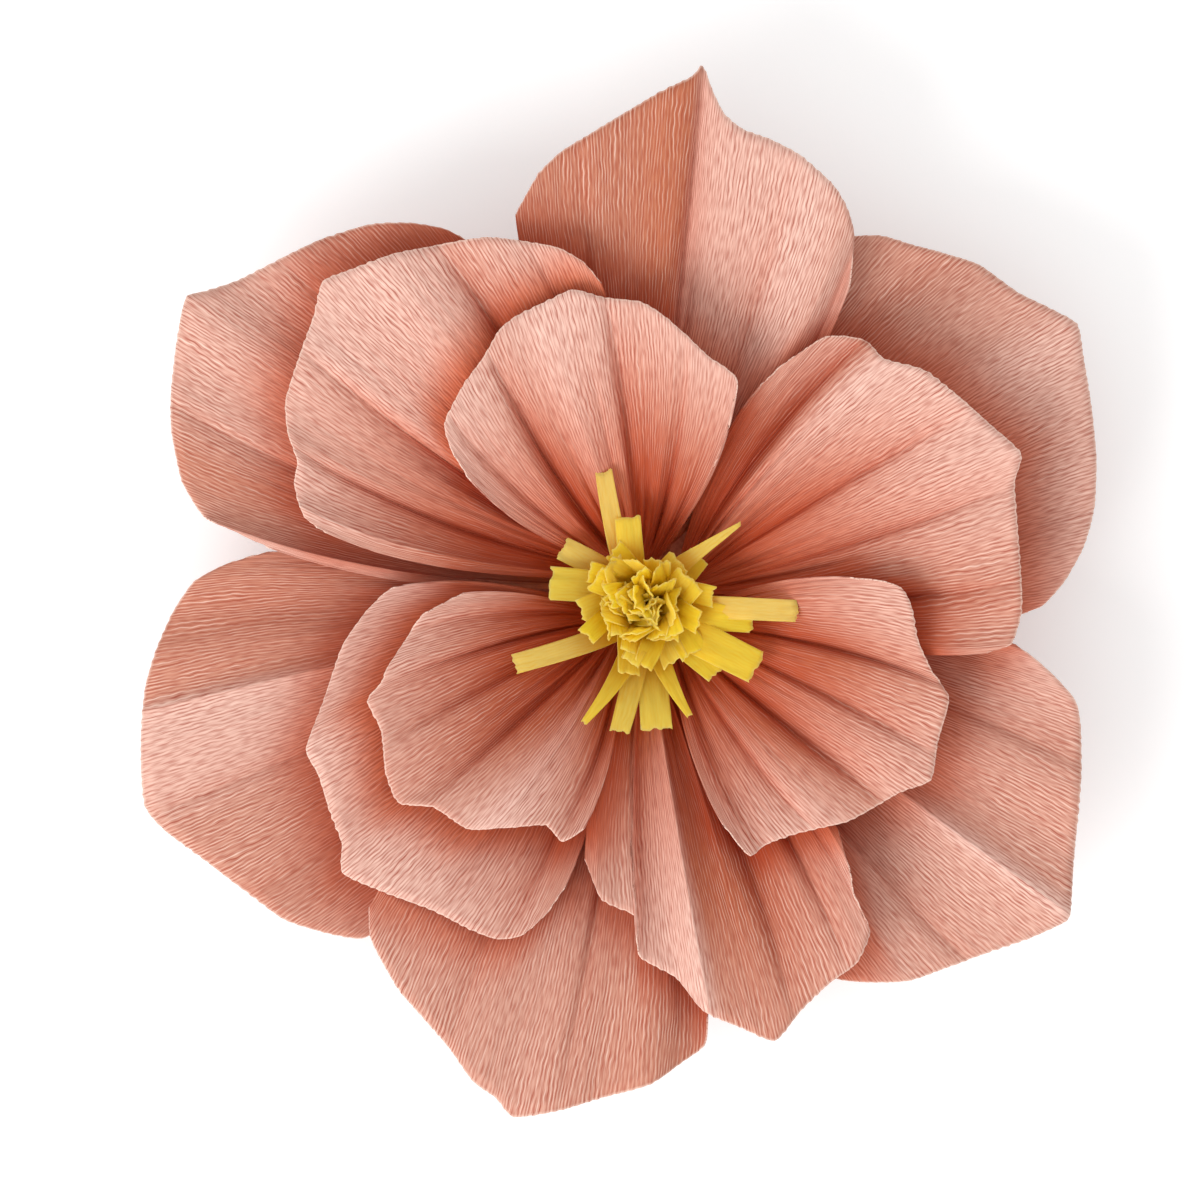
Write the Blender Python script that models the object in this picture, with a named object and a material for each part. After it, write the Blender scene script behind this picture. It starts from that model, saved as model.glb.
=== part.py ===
"""Crepe paper lotus flower: thirteen gathered petals and a rolled fringe of
stamens, glued in layers to a round card. The flower lies on its back, its
face up along +Z, with the origin at the middle of the card's rear face."""

import math

import bmesh
import bpy

# Scale of the numbers below: every length is in millimetres, every bearing
# in degrees, counted anticlockwise from +X as seen from above.
MM = 0.001

# Stock and fit
PAPER = 0.5
GAP = 0.3
CARD_RADIUS = 35.0
CARD_THICKNESS = 1.6
CARD_BEVEL = 0.4
CARD_SIDES = 48

# Feet: the flat, glued end of a petal runs from FOOT_HEEL to its layer's toe.
FOOT_HEEL = 9.0

# Rise of each layer: the toe of its foot, the foot's half width, the slope
# where the blade leaves the foot and at full reach, and that full reach.
OUTER = {"toe": 18.5, "half_foot": 6.5, "rise": 0.45, "rim_rise": 0.05, "reach": 160.0}
MIDDLE = {"toe": 15.0, "half_foot": 7.0, "rise": 0.72, "rim_rise": 0.12, "reach": 125.0}
INNER = {"toe": 13.0, "half_foot": 7.5, "rise": 1.08, "rim_rise": 0.13, "reach": 95.0}

# Feet of one layer lie side by side. Past the toe, neighbours that overlap
# are on different levels: each level steps up by a sheet and a gap within
# LEVEL_RUN, and then draws apart by LEVEL_RISE for each millimetre outwards.
LEVEL_RUN = 4.0
LEVEL_RISE = 0.06

# Gathers: alternate ribs stand up and lie down by this much just past the
# foot, and the pleats die out along the blade and towards both margins.
OUTER_PLEAT = 1.3
MIDDLE_PLEAT = 1.9
INNER_PLEAT = 1.8
PLEAT_CREST = 0.18
PLEAT_END = 0.75
PLEAT_FADE = 1.3

# Cupping: how far both margins stand above the middle of the blade
OUTER_CUP = 2.0
MIDDLE_CUP = 4.0
INNER_CUP = 6.0

# Folds: a swell is round, a crease is sharp, and a crease's steep flank is
# this much of the width of its gentle one.
STEEP_SIDE = 0.22

# Stations along a rib, from the foot's toe (0) to the rim (1)
STATIONS = (0.05, 0.12, 0.22, 0.34, 0.48, 0.64, 0.82, 1.0)

# Petals. Each rib is (bearing, reach) of its end on the rim, both from the
# flower's centre. axis is the way the grain runs, fan how much the grain
# still spreads at the rim, shift how far the foot lies off the axis. A fold
# is (bearing at the rim, height halfway, height at the rim, width along the
# rim, form): heights above nought are ridges, below nought valleys, and a
# crease's gentle flank lies anticlockwise of it, or clockwise where its
# width is below nought.
PETALS = {
    "petal_outer_top": {
        "layer": OUTER, "level": 2, "axis": 86.0, "fan": 0.45, "shift": 0.0,
        "pleat": OUTER_PLEAT, "cup": OUTER_CUP,
        "ribs": [(57.5, 111.5), (60.5, 124.5), (63.0, 130.5), (66.0, 135.0), (71.0, 139.5),
                 (75.0, 141.5), (78.5, 142.5), (81.0, 146.0), (82.5, 151.5), (84.0, 159.0),
                 (85.0, 155.5), (88.5, 150.5), (92.5, 144.5), (96.5, 139.5), (100.5, 135.5),
                 (104.0, 130.5), (108.5, 121.0)],
        "folds": [(84.0, -6.0, -3.0, -16.0, "crease"), (63.5, 4.0, 2.5, 9.0, "swell"),
                  (72.0, -3.0, -0.5, 9.0, "crease"), (98.0, -2.0, -0.5, 10.0, "crease"),
                  (59.5, -3.0, -3.0, 8.0, "swell")],
    },
    "petal_outer_upper_right": {
        "layer": OUTER, "level": 0, "axis": 26.0, "fan": 0.5, "shift": 0.0,
        "pleat": OUTER_PLEAT, "cup": OUTER_CUP,
        "ribs": [(-1.5, 110.5), (0.0, 117.5), (3.5, 124.5), (7.5, 130.5), (12.5, 136.0),
                 (18.0, 140.0), (23.0, 143.5), (29.0, 148.0), (33.0, 152.0), (36.0, 148.5),
                 (40.0, 143.5), (45.5, 141.0), (49.0, 137.0), (53.5, 132.5), (57.5, 129.5),
                 (61.5, 123.5), (65.0, 112.0)],
        "folds": [(33.0, 1.5, 2.5, 22.0, "swell"), (50.0, -3.5, -1.0, -14.0, "crease"),
                  (12.0, -2.5, -1.0, 16.0, "crease"), (24.0, -2.0, -0.5, -10.0, "crease")],
    },
    "petal_outer_lower_right": {
        "layer": OUTER, "level": 1, "axis": -34.0, "fan": 0.6, "shift": 0.0,
        "pleat": OUTER_PLEAT, "cup": OUTER_CUP,
        "ribs": [(-66.0, 113.5), (-63.0, 123.5), (-59.5, 129.0), (-55.0, 135.0), (-50.0, 139.0),
                 (-45.5, 143.5), (-41.0, 149.5), (-37.0, 154.5), (-35.5, 153.5), (-31.0, 147.0),
                 (-26.0, 141.5), (-20.5, 137.0), (-15.5, 133.0), (-12.5, 129.5), (-9.5, 121.0),
                 (-6.0, 109.5)],
        "folds": [(-36.0, 5.0, 3.0, -14.0, "crease"), (-48.0, -3.0, -1.5, 9.0, "crease"),
                  (-20.0, -2.5, -1.0, 9.0, "crease"), (-6.5, 2.5, 2.5, 8.0, "swell")],
    },
    "petal_outer_bottom": {
        "layer": OUTER, "level": 2, "axis": 257.0, "fan": 0.45, "shift": 0.0,
        "pleat": OUTER_PLEAT, "cup": OUTER_CUP,
        "ribs": [(227.5, 120.5), (230.5, 127.0), (237.0, 134.0), (241.5, 137.5), (245.5, 141.5),
                 (250.0, 148.5), (253.0, 151.0), (255.5, 155.0), (260.5, 150.0), (265.0, 145.0),
                 (270.5, 140.5), (274.0, 135.5), (277.5, 130.5), (278.5, 122.0)],
        "folds": [(268.0, 2.0, 1.0, 16.0, "swell"), (246.0, -2.5, -1.0, -14.0, "crease"),
                  (260.0, -2.5, -0.5, 9.0, "crease"), (276.0, -2.5, -2.5, 10.0, "swell")],
    },
    "petal_outer_lower_left": {
        "layer": OUTER, "level": 0, "axis": 199.0, "fan": 0.55, "shift": 0.0,
        "pleat": OUTER_PLEAT, "cup": OUTER_CUP,
        "ribs": [(172.0, 113.0), (174.5, 125.0), (177.0, 133.5), (181.0, 140.0),
                 (185.0, 145.0), (189.5, 150.0), (194.0, 153.5), (198.5, 157.0), (202.0, 159.5),
                 (205.0, 157.0), (210.0, 150.5), (215.5, 145.5), (221.0, 141.5), (226.0, 135.0),
                 (229.5, 129.5), (231.5, 121.0)],
        "folds": [(192.0, 5.0, 3.5, 14.0, "crease"), (182.0, -2.0, -1.0, 12.0, "swell"),
                  (203.0, -2.5, -0.5, -10.0, "crease"), (216.0, -2.5, -1.5, 14.0, "crease")],
    },
    "petal_outer_upper_left": {
        "layer": OUTER, "level": 1, "axis": 145.0, "fan": 0.5, "shift": 0.0,
        "pleat": OUTER_PLEAT, "cup": OUTER_CUP,
        "ribs": [(115.5, 117.5), (118.0, 125.5), (121.5, 132.0), (126.0, 138.5), (131.5, 144.0),
                 (137.0, 148.5), (141.5, 153.5), (144.5, 159.0), (146.0, 162.5), (148.0, 161.0),
                 (151.5, 157.5), (156.0, 153.0), (160.0, 148.5), (165.0, 141.5), (168.5, 133.0),
                 (170.0, 122.0), (171.5, 111.0)],
        "folds": [(146.0, 1.5, 2.5, 16.0, "swell"), (137.0, -2.5, -0.5, -11.0, "crease"),
                  (157.0, -3.0, -1.0, 14.0, "crease"), (169.0, 5.0, 3.0, 12.0, "crease")],
    },
    "petal_middle_upper_left": {
        "layer": MIDDLE, "level": 1, "axis": 132.0, "fan": 0.55, "shift": -3.0,
        "pleat": MIDDLE_PLEAT, "cup": MIDDLE_CUP,
        "ribs": [(98.0, 95.5), (100.5, 102.5), (104.0, 108.0), (109.0, 113.0), (113.5, 117.5),
                 (119.5, 121.5), (125.5, 126.5), (131.5, 131.0), (135.0, 134.0), (139.0, 129.0),
                 (143.5, 125.5), (150.5, 121.5), (154.5, 116.0), (157.5, 110.5), (161.0, 109.0),
                 (165.5, 103.5), (167.5, 95.0)],
        "folds": [(128.0, 1.5, 1.0, 9.0, "swell"), (120.0, -8.0, -1.0, -12.0, "crease"),
                  (108.0, -4.0, -0.5, -8.0, "crease"), (143.5, -5.0, -0.5, 9.0, "crease"),
                  (156.0, -7.0, -1.0, 10.0, "crease"), (164.0, 4.0, 2.5, 9.0, "crease")],
    },
    "petal_middle_right": {
        "layer": MIDDLE, "level": 1, "axis": 27.0, "fan": 0.5, "shift": 0.0,
        "pleat": MIDDLE_PLEAT, "cup": MIDDLE_CUP,
        "ribs": [(-8.0, 101.0), (-6.0, 107.5), (-1.0, 110.0), (7.0, 110.5), (14.5, 112.0),
                 (18.5, 114.0), (22.0, 118.5), (28.5, 113.5), (35.0, 109.5), (40.0, 107.0),
                 (46.0, 100.5), (50.5, 101.0), (56.0, 95.0), (60.0, 82.5), (62.5, 72.0)],
        "folds": [(50.5, -8.0, -3.5, 8.0, "crease"), (44.0, 3.0, 1.0, 8.0, "swell"),
                  (31.0, -5.5, -0.5, 9.0, "crease"), (18.0, -4.5, -0.5, 8.0, "crease"),
                  (4.0, -5.5, -0.5, -9.0, "crease"), (-6.0, 2.0, 2.5, 6.0, "swell")],
    },
    "petal_middle_lower_left": {
        "layer": MIDDLE, "level": 0, "axis": 214.0, "fan": 0.55, "shift": -4.0,
        "pleat": MIDDLE_PLEAT, "cup": MIDDLE_CUP,
        "ribs": [(174.5, 68.0), (176.5, 75.5), (181.0, 82.0), (187.5, 90.0), (196.5, 99.0),
                 (203.0, 108.5), (207.5, 108.5), (213.0, 111.0), (218.0, 113.5), (221.5, 119.0),
                 (228.0, 114.0), (235.0, 109.5), (241.5, 108.5), (246.0, 107.5), (249.5, 103.5),
                 (252.0, 95.5), (254.0, 86.0)],
        "folds": [(176.0, 3.5, 2.5, 7.0, "swell"), (203.0, 2.0, 2.0, 12.0, "swell"),
                  (215.0, -3.5, -0.5, 8.0, "crease"), (247.0, -5.0, -1.0, -8.0, "crease"),
                  (235.0, -3.5, -0.5, 8.0, "crease")],
    },
    "petal_middle_bottom": {
        "layer": MIDDLE, "level": 1, "axis": 282.0, "fan": 0.5, "shift": 0.0,
        "pleat": MIDDLE_PLEAT, "cup": MIDDLE_CUP,
        "ribs": [(256.5, 77.0), (261.5, 87.5), (268.0, 91.5), (269.0, 103.0), (274.5, 109.5),
                 (278.0, 120.0), (282.5, 126.5), (286.5, 133.0), (291.0, 127.0), (296.0, 123.0),
                 (300.5, 121.5), (304.5, 116.0), (305.5, 105.0), (307.5, 98.0), (310.5, 87.0)],
        "folds": [(279.0, 6.0, 1.5, -12.0, "crease"), (270.0, -5.0, -1.0, 8.0, "crease"),
                  (260.0, 3.0, 1.5, 8.0, "swell"), (290.0, -5.5, -0.5, 11.0, "crease"),
                  (299.0, -4.5, -0.5, 8.0, "crease"), (308.0, 3.5, 2.0, 9.0, "swell")],
    },
    "petal_inner_top": {
        "layer": INNER, "level": 0, "axis": 103.0, "fan": 0.5, "shift": 0.0,
        "pleat": INNER_PLEAT, "cup": INNER_CUP,
        "ribs": [(65.5, 61.0), (68.0, 71.0), (71.5, 73.5), (75.5, 75.0), (81.5, 80.0),
                 (86.5, 85.0), (91.0, 89.0), (97.5, 91.0), (103.0, 95.0), (107.5, 94.0),
                 (114.0, 93.0), (118.0, 91.5), (123.0, 87.0), (129.5, 84.0), (138.0, 79.5),
                 (141.5, 72.5), (144.5, 63.0)],
        "folds": [(122.0, -7.0, -0.5, -8.0, "crease"), (109.0, 2.0, 0.3, 7.0, "swell"),
                  (97.5, -6.0, -0.5, -8.0, "crease"), (136.0, -3.5, -0.5, -6.0, "crease"),
                  (81.5, -2.5, -0.3, 8.0, "crease"), (67.0, 3.0, 2.0, 6.0, "swell")],
    },
    "petal_inner_right": {
        "layer": INNER, "level": 0, "axis": -31.0, "fan": 0.55, "shift": 0.0,
        "pleat": INNER_PLEAT, "cup": INNER_CUP,
        "ribs": [(-70.5, 68.0), (-67.5, 79.5), (-63.5, 78.5), (-56.0, 80.5), (-46.5, 87.0),
                 (-36.5, 92.5), (-31.5, 98.0), (-25.0, 94.5), (-17.0, 93.0), (-13.0, 86.0),
                 (-7.5, 80.5), (-0.5, 78.0), (3.5, 75.5), (5.5, 70.5), (7.5, 60.5)],
        "folds": [(-15.0, -6.5, -1.0, 9.0, "crease"), (-27.0, -4.5, -0.3, 7.0, "crease"),
                  (-40.0, -8.0, -0.5, 8.0, "crease"), (-53.0, -4.5, -0.3, -7.0, "crease"),
                  (-65.0, -5.0, -2.0, 6.0, "crease"), (1.0, 2.5, 1.5, 8.0, "swell")],
    },
    "petal_inner_left": {
        "layer": INNER, "level": 0, "axis": 215.0, "fan": 0.55, "shift": 0.0,
        "pleat": INNER_PLEAT, "cup": INNER_CUP,
        "ribs": [(176.5, 54.0), (182.5, 65.5), (187.5, 70.5), (193.5, 78.0), (196.5, 81.0),
                 (199.0, 86.5), (205.5, 86.0), (213.0, 91.0), (218.5, 93.0), (223.5, 86.0),
                 (231.5, 84.0), (238.0, 77.0), (245.5, 71.0), (250.5, 73.5), (254.5, 68.0)],
        "folds": [(236.0, 4.0, 1.0, -9.0, "crease"), (222.0, -7.0, -0.5, -8.0, "crease"),
                  (249.0, -5.5, -1.0, 7.0, "crease"), (186.0, -3.5, -1.5, 8.0, "crease"),
                  (208.0, -5.0, -0.3, -8.0, "crease"), (197.0, -4.5, -0.3, 7.0, "crease")],
    },
}

# Stamens: a rolled bundle of cut crepe, and one turn of longer fringe round it
ROLL_RADIUS = 10.0
ROLL_HEIGHT = 6.0
ROLL_SIDES = 32
WRAP_HEIGHT = 5.0
WRAP_WALL = 0.7
STRIP_THICKNESS = 0.6
STRIP_ROOT = 1.5
STRIP_BENDS = (0.0, 0.3, 0.6, 1.0)
WRAP_ROOT_WIDTH = 4.6

# Strips of the wrap: bearing, reach from the flower's centre, width at the
# end, and how far above the inner petals the end lies
WRAP_STRIPS = [(-29.4, 38.0, 9.0, 8.0), (-46.0, 29.3, 6.5, 8.5), (-12.5, 32.0, 6.0, 8.0),
               (-1.0, 45.0, 6.0, 7.0), (40.5, 37.3, 1.8, 6.0), (100.0, 26.5, 7.0, 8.5),
               (109.5, 41.5, 5.0, 6.0), (145.5, 29.8, 7.1, 6.0), (167.0, 28.8, 9.5, 8.0),
               (204.2, 42.5, 5.9, 6.0), (242.3, 39.4, 2.0, 6.0), (258.4, 38.3, 5.9, 6.0),
               (275.1, 36.8, 8.5, 6.0), (291.6, 35.3, 2.0, 8.0)]

# Rings of the roll: strips, root radius, least and most reach of their ends,
# height of the ends, width of a strip
ROLL_RINGS = [
    {"count": 11, "root": 8.6, "reach": (15.0, 21.0), "top": 32.0, "width": 7.0},
    {"count": 10, "root": 6.4, "reach": (11.0, 17.0), "top": 35.0, "width": 6.0},
    {"count": 8, "root": 4.2, "reach": (6.0, 11.0), "top": 39.0, "width": 4.6},
    {"count": 4, "root": 2.0, "reach": (2.6, 5.0), "top": 41.0, "width": 3.4},
]

# Colours as linear values with a roughness
SALMON = (0.62, 0.25, 0.19, 1.0)
YELLOW = (0.80, 0.56, 0.05, 1.0)
CARD_TINT = (0.66, 0.30, 0.24, 1.0)
PAPER_ROUGHNESS = 0.85


def clear_scene():
    for thing in list(bpy.data.objects):
        bpy.data.objects.remove(thing, do_unlink=True)


def paper_material(name, colour):
    material = bpy.data.materials.new(name)
    material.use_nodes = True
    shader = material.node_tree.nodes["Principled BSDF"]
    shader.inputs["Base Color"].default_value = colour
    shader.inputs["Roughness"].default_value = PAPER_ROUGHNESS
    shader.inputs["Metallic"].default_value = 0.0
    return material


def add_object(name, shape, colour):
    bmesh.ops.recalc_face_normals(shape, faces=shape.faces)
    mesh = bpy.data.meshes.new(name)
    shape.to_mesh(mesh)
    shape.free()
    mesh.materials.append(paper_material(name + "_paper", colour))
    thing = bpy.data.objects.new(name, mesh)
    bpy.context.scene.collection.objects.link(thing)
    return thing


def polar(bearing, reach):
    turn = math.radians(bearing)
    return reach * math.cos(turn), reach * math.sin(turn)


def foot_height(layer):
    """Underside of a layer's feet: the layers' feet are stacked a gap apart."""
    order = (OUTER, MIDDLE, INNER)
    sheets_below = [other is layer for other in order].index(True)
    return CARD_THICKNESS + GAP + sheets_below * (PAPER + GAP)


def level_rise(level, outward):
    step = (PAPER + GAP) * min(outward / LEVEL_RUN, 1.0)
    return level * (step + LEVEL_RISE * outward)


def layer_slope(layer, outward):
    span = layer["reach"] - layer["toe"]
    share = min(outward / span, 1.0)
    return layer["rise"] + (layer["rim_rise"] - layer["rise"]) * share


def layer_rise(layer, outward):
    """Height gained by a layer, outward being the distance past the toe."""
    span = layer["reach"] - layer["toe"]
    near = min(outward, span)
    slope_loss = (layer["rise"] - layer["rim_rise"]) * near * near / (2.0 * span)
    return layer["rise"] * near - slope_loss + layer["rim_rise"] * (outward - near)


def pleat_share(v):
    if v < PLEAT_CREST:
        return v / PLEAT_CREST
    return max(0.0, 1.0 - (v - PLEAT_CREST) / (PLEAT_END - PLEAT_CREST)) ** PLEAT_FADE


def fold_relief(folds, rim_run, v):
    """Height of all folds at a rib whose end lies rim_run along the rim."""
    total = 0.0
    for run, halfway, at_rim, width, form in folds:
        side = (rim_run - run) / width
        if form == "crease":
            shape = math.exp(-side if side > 0.0 else side / STEEP_SIDE)
        else:
            shape = math.exp(-side * side)
        total += shape * (halfway * 4.0 * v * (1.0 - v) + at_rim * v * (2.0 * v - 1.0))
    return total


def petal_ribs(petal):
    """Rib ends in the petal's own frame: along its axis and across it."""
    ends = []
    for bearing, reach in petal["ribs"]:
        along, across = polar(bearing - petal["axis"], reach)
        ends.append((along, across))
    return ends


def petal_section(petal, ends, index, v):
    """One point of the petal's underside, and its sheet's upright thickness."""
    layer = petal["layer"]
    along_end, across_end = ends[index]
    place = 2.0 * index / (len(ends) - 1) - 1.0
    root_across = petal["shift"] + layer["half_foot"] * place
    spread = v * (2.0 - petal["fan"] - (1.0 - petal["fan"]) * v)
    along = layer["toe"] + (along_end - layer["toe"]) * v
    across = root_across + (across_end - root_across) * spread
    outward = max(0.0, math.hypot(along, across) - math.hypot(layer["toe"], root_across))

    height = foot_height(layer) + layer_rise(layer, outward)
    height += level_rise(petal["level"], outward)
    height += petal["cup"] * place * place * v
    side = 1.0 if index % 2 else -1.0
    height += side * petal["pleat"] * pleat_share(v) * (1.0 - place ** 4)
    height += fold_relief(petal["fold_runs"], petal["rim_runs"][index], v)
    sheet = PAPER * math.hypot(1.0, layer_slope(layer, outward)) if v > 0.0 else PAPER
    return along, across, height, sheet


def petal_rows(petal):
    """Rows of points from the heel of the foot to the rim."""
    ends = petal_ribs(petal)
    layer = petal["layer"]
    petal["rim_runs"] = rim_runs(ends)
    petal["fold_runs"] = []
    for bearing, halfway, at_rim, width, form in petal["folds"]:
        petal["fold_runs"].append((fold_run(petal, bearing), halfway, at_rim, width, form))
    toe = [petal_section(petal, ends, index, 0.0) for index in range(len(ends))]
    heel_share = FOOT_HEEL / layer["toe"]
    heel = []
    for along, across, height, sheet in toe:
        heel.append((FOOT_HEEL, petal["shift"] + (across - petal["shift"]) * heel_share, height, sheet))
    rows = [heel, toe]
    for v in STATIONS:
        rows.append([petal_section(petal, ends, index, v) for index in range(len(ends))])
    return rows


def rim_runs(ends):
    """Distance of each rib's end along the rim from the first one."""
    runs = [0.0]
    for before, after in zip(ends, ends[1:]):
        runs.append(runs[-1] + math.hypot(after[0] - before[0], after[1] - before[1]))
    return runs


def fold_run(petal, bearing):
    """How far along the rim a fold's bearing lies."""
    ribs = petal["ribs"]
    runs = petal["rim_runs"]
    for index in range(len(ribs) - 1):
        low = ribs[index][0]
        high = ribs[index + 1][0]
        if low <= bearing <= high:
            return runs[index] + (bearing - low) / (high - low) * (runs[index + 1] - runs[index])
    return runs[0] if bearing < ribs[0][0] else runs[-1]


def build_petal(name, petal):
    rows = petal_rows(petal)
    turn = math.radians(petal["axis"])
    cos_turn = math.cos(turn)
    sin_turn = math.sin(turn)
    shape = bmesh.new()
    faces_of = []
    for top in (False, True):
        sheet_rows = []
        for row in rows:
            line = []
            for along, across, height, sheet in row:
                x = along * cos_turn - across * sin_turn
                y = along * sin_turn + across * cos_turn
                z = height + (sheet if top else 0.0)
                line.append(shape.verts.new((x * MM, y * MM, z * MM)))
            sheet_rows.append(line)
        faces_of.append(sheet_rows)
    under, over = faces_of
    last_row = len(rows) - 1
    last_rib = len(rows[0]) - 1
    for row in range(last_row):
        for rib in range(last_rib):
            for grid in (under, over):
                shape.faces.new((grid[row][rib], grid[row][rib + 1],
                                 grid[row + 1][rib + 1], grid[row + 1][rib]))
    for rib in range(last_rib):
        for row in (0, last_row):
            shape.faces.new((under[row][rib], under[row][rib + 1],
                             over[row][rib + 1], over[row][rib]))
    for row in range(last_row):
        for rib in (0, last_rib):
            shape.faces.new((under[row][rib], under[row + 1][rib],
                             over[row + 1][rib], over[row][rib]))
    thing = add_object(name, shape, SALMON)
    thing.data.shade_smooth()
    return thing


def build_card():
    shape = bmesh.new()
    bmesh.ops.create_cone(shape, cap_ends=True, segments=CARD_SIDES, radius1=CARD_RADIUS * MM,
                          radius2=CARD_RADIUS * MM, depth=CARD_THICKNESS * MM)
    bmesh.ops.translate(shape, verts=shape.verts, vec=(0.0, 0.0, CARD_THICKNESS * MM / 2.0))
    rim = [edge for edge in shape.edges if abs(edge.verts[0].co.z - edge.verts[1].co.z) < MM / 10.0]
    bmesh.ops.bevel(shape, geom=rim, offset=CARD_BEVEL * MM, segments=1, affect="EDGES")
    return add_object("backing_card", shape, CARD_TINT)


def add_strip(shape, bearing, path, widths):
    """A ribbon along (radius, height) points, widening from root to end."""
    out_x, out_y = polar(bearing, 1.0)
    sections = []
    for index, (radius, height) in enumerate(path):
        before = path[max(index - 1, 0)]
        after = path[min(index + 1, len(path) - 1)]
        run = math.hypot(after[0] - before[0], after[1] - before[1])
        lean_out = (after[0] - before[0]) / run
        lean_up = (after[1] - before[1]) / run
        share = index / (len(path) - 1)
        half = (widths[0] + (widths[1] - widths[0]) * share) / 2.0
        section = []
        for side, skin in ((-1, -1), (1, -1), (1, 1), (-1, 1)):
            reach = radius - skin * lean_up * STRIP_THICKNESS / 2.0
            z = height + skin * lean_out * STRIP_THICKNESS / 2.0
            x = reach * out_x - side * half * out_y
            y = reach * out_y + side * half * out_x
            section.append(shape.verts.new((x * MM, y * MM, z * MM)))
        sections.append(section)
    for low, high in zip(sections, sections[1:]):
        for corner in range(4):
            after = (corner + 1) % 4
            shape.faces.new((low[corner], low[after], high[after], high[corner]))
    shape.faces.new(sections[0])
    shape.faces.new(sections[-1])


def join_strips(name, body, strips):
    """Make the strips one solid with the body they are cut from."""
    bmesh.ops.recalc_face_normals(strips, faces=strips.faces)
    mesh = bpy.data.meshes.new(name + "_strips")
    strips.to_mesh(mesh)
    strips.free()
    cutter = bpy.data.objects.new(name + "_strips", mesh)
    cutter.hide_render = True
    cutter.display_type = "WIRE"
    bpy.context.scene.collection.objects.link(cutter)
    union = body.modifiers.new("strips", "BOOLEAN")
    union.operation = "UNION"
    union.solver = "EXACT"
    union.use_self = True
    union.object = cutter


def stamen_floor():
    return foot_height(INNER) + PAPER + GAP


def build_roll():
    floor = stamen_floor()
    shape = bmesh.new()
    bmesh.ops.create_cone(shape, cap_ends=True, segments=ROLL_SIDES, radius1=ROLL_RADIUS * MM,
                          radius2=ROLL_RADIUS * MM, depth=ROLL_HEIGHT * MM)
    bmesh.ops.translate(shape, verts=shape.verts,
                        vec=(0.0, 0.0, (floor + ROLL_HEIGHT / 2.0) * MM))
    body = add_object("stamen_roll", shape, YELLOW)
    strips = bmesh.new()
    for order, ring in enumerate(ROLL_RINGS):
        for index in range(ring["count"]):
            bearing = 360.0 * (index + 0.5 * (order % 2)) / ring["count"]
            near, far = ring["reach"]
            reach = far if index % 2 else near
            root = (ring["root"], floor + ROLL_HEIGHT - STRIP_ROOT)
            knee = (ring["root"] * 1.1, ring["top"] * 0.9)
            tip = (reach, ring["top"])
            root_width = min(ring["width"], 2.0 * math.pi * ring["root"] / ring["count"] - GAP)
            add_strip(strips, bearing, bend(root, knee, tip), (root_width, ring["width"]))
    join_strips("stamen_roll", body, strips)
    return body


def bend(root, knee, tip):
    """Points along an arc that leaves root towards knee and ends at tip."""
    path = []
    for t in STRIP_BENDS:
        shares = ((1.0 - t) ** 2, 2.0 * t * (1.0 - t), t * t)
        path.append(tuple(sum(share * point[side] for share, point in zip(shares, (root, knee, tip)))
                          for side in (0, 1)))
    return path


def build_wrap():
    floor = stamen_floor()
    inside = ROLL_RADIUS + GAP
    outside = inside + WRAP_WALL
    shape = bmesh.new()
    rings = []
    for radius, height in ((inside, 0.0), (outside, 0.0), (outside, WRAP_HEIGHT), (inside, WRAP_HEIGHT)):
        ring = []
        for side in range(ROLL_SIDES):
            x, y = polar(360.0 * side / ROLL_SIDES, radius)
            ring.append(shape.verts.new((x * MM, y * MM, (floor + height) * MM)))
        rings.append(ring)
    for index, ring in enumerate(rings):
        after = rings[(index + 1) % len(rings)]
        for side in range(ROLL_SIDES):
            ahead = (side + 1) % ROLL_SIDES
            shape.faces.new((ring[side], ring[ahead], after[ahead], after[side]))
    body = add_object("stamen_outer_fringe", shape, YELLOW)
    strips = bmesh.new()
    middle = inside + WRAP_WALL / 2.0
    for bearing, reach, width, lift in WRAP_STRIPS:
        top = petal_top(reach) + lift
        root = (middle, floor + WRAP_HEIGHT - STRIP_ROOT)
        knee = (middle * 1.3, max(top - 1.0, petal_top(middle * 1.3) + lift))
        add_strip(strips, bearing, bend(root, knee, (reach, top)), (WRAP_ROOT_WIDTH, width))
    join_strips("stamen_outer_fringe", body, strips)
    return body


def petal_top(radius):
    """Height of the inner petals' underside at a distance from the centre."""
    return foot_height(INNER) + layer_rise(INNER, max(radius - INNER["toe"], 0.0))


clear_scene()
build_card()
for petal_name, petal_form in PETALS.items():
    build_petal(petal_name, petal_form)
build_roll()
build_wrap()
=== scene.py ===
import math

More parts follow.
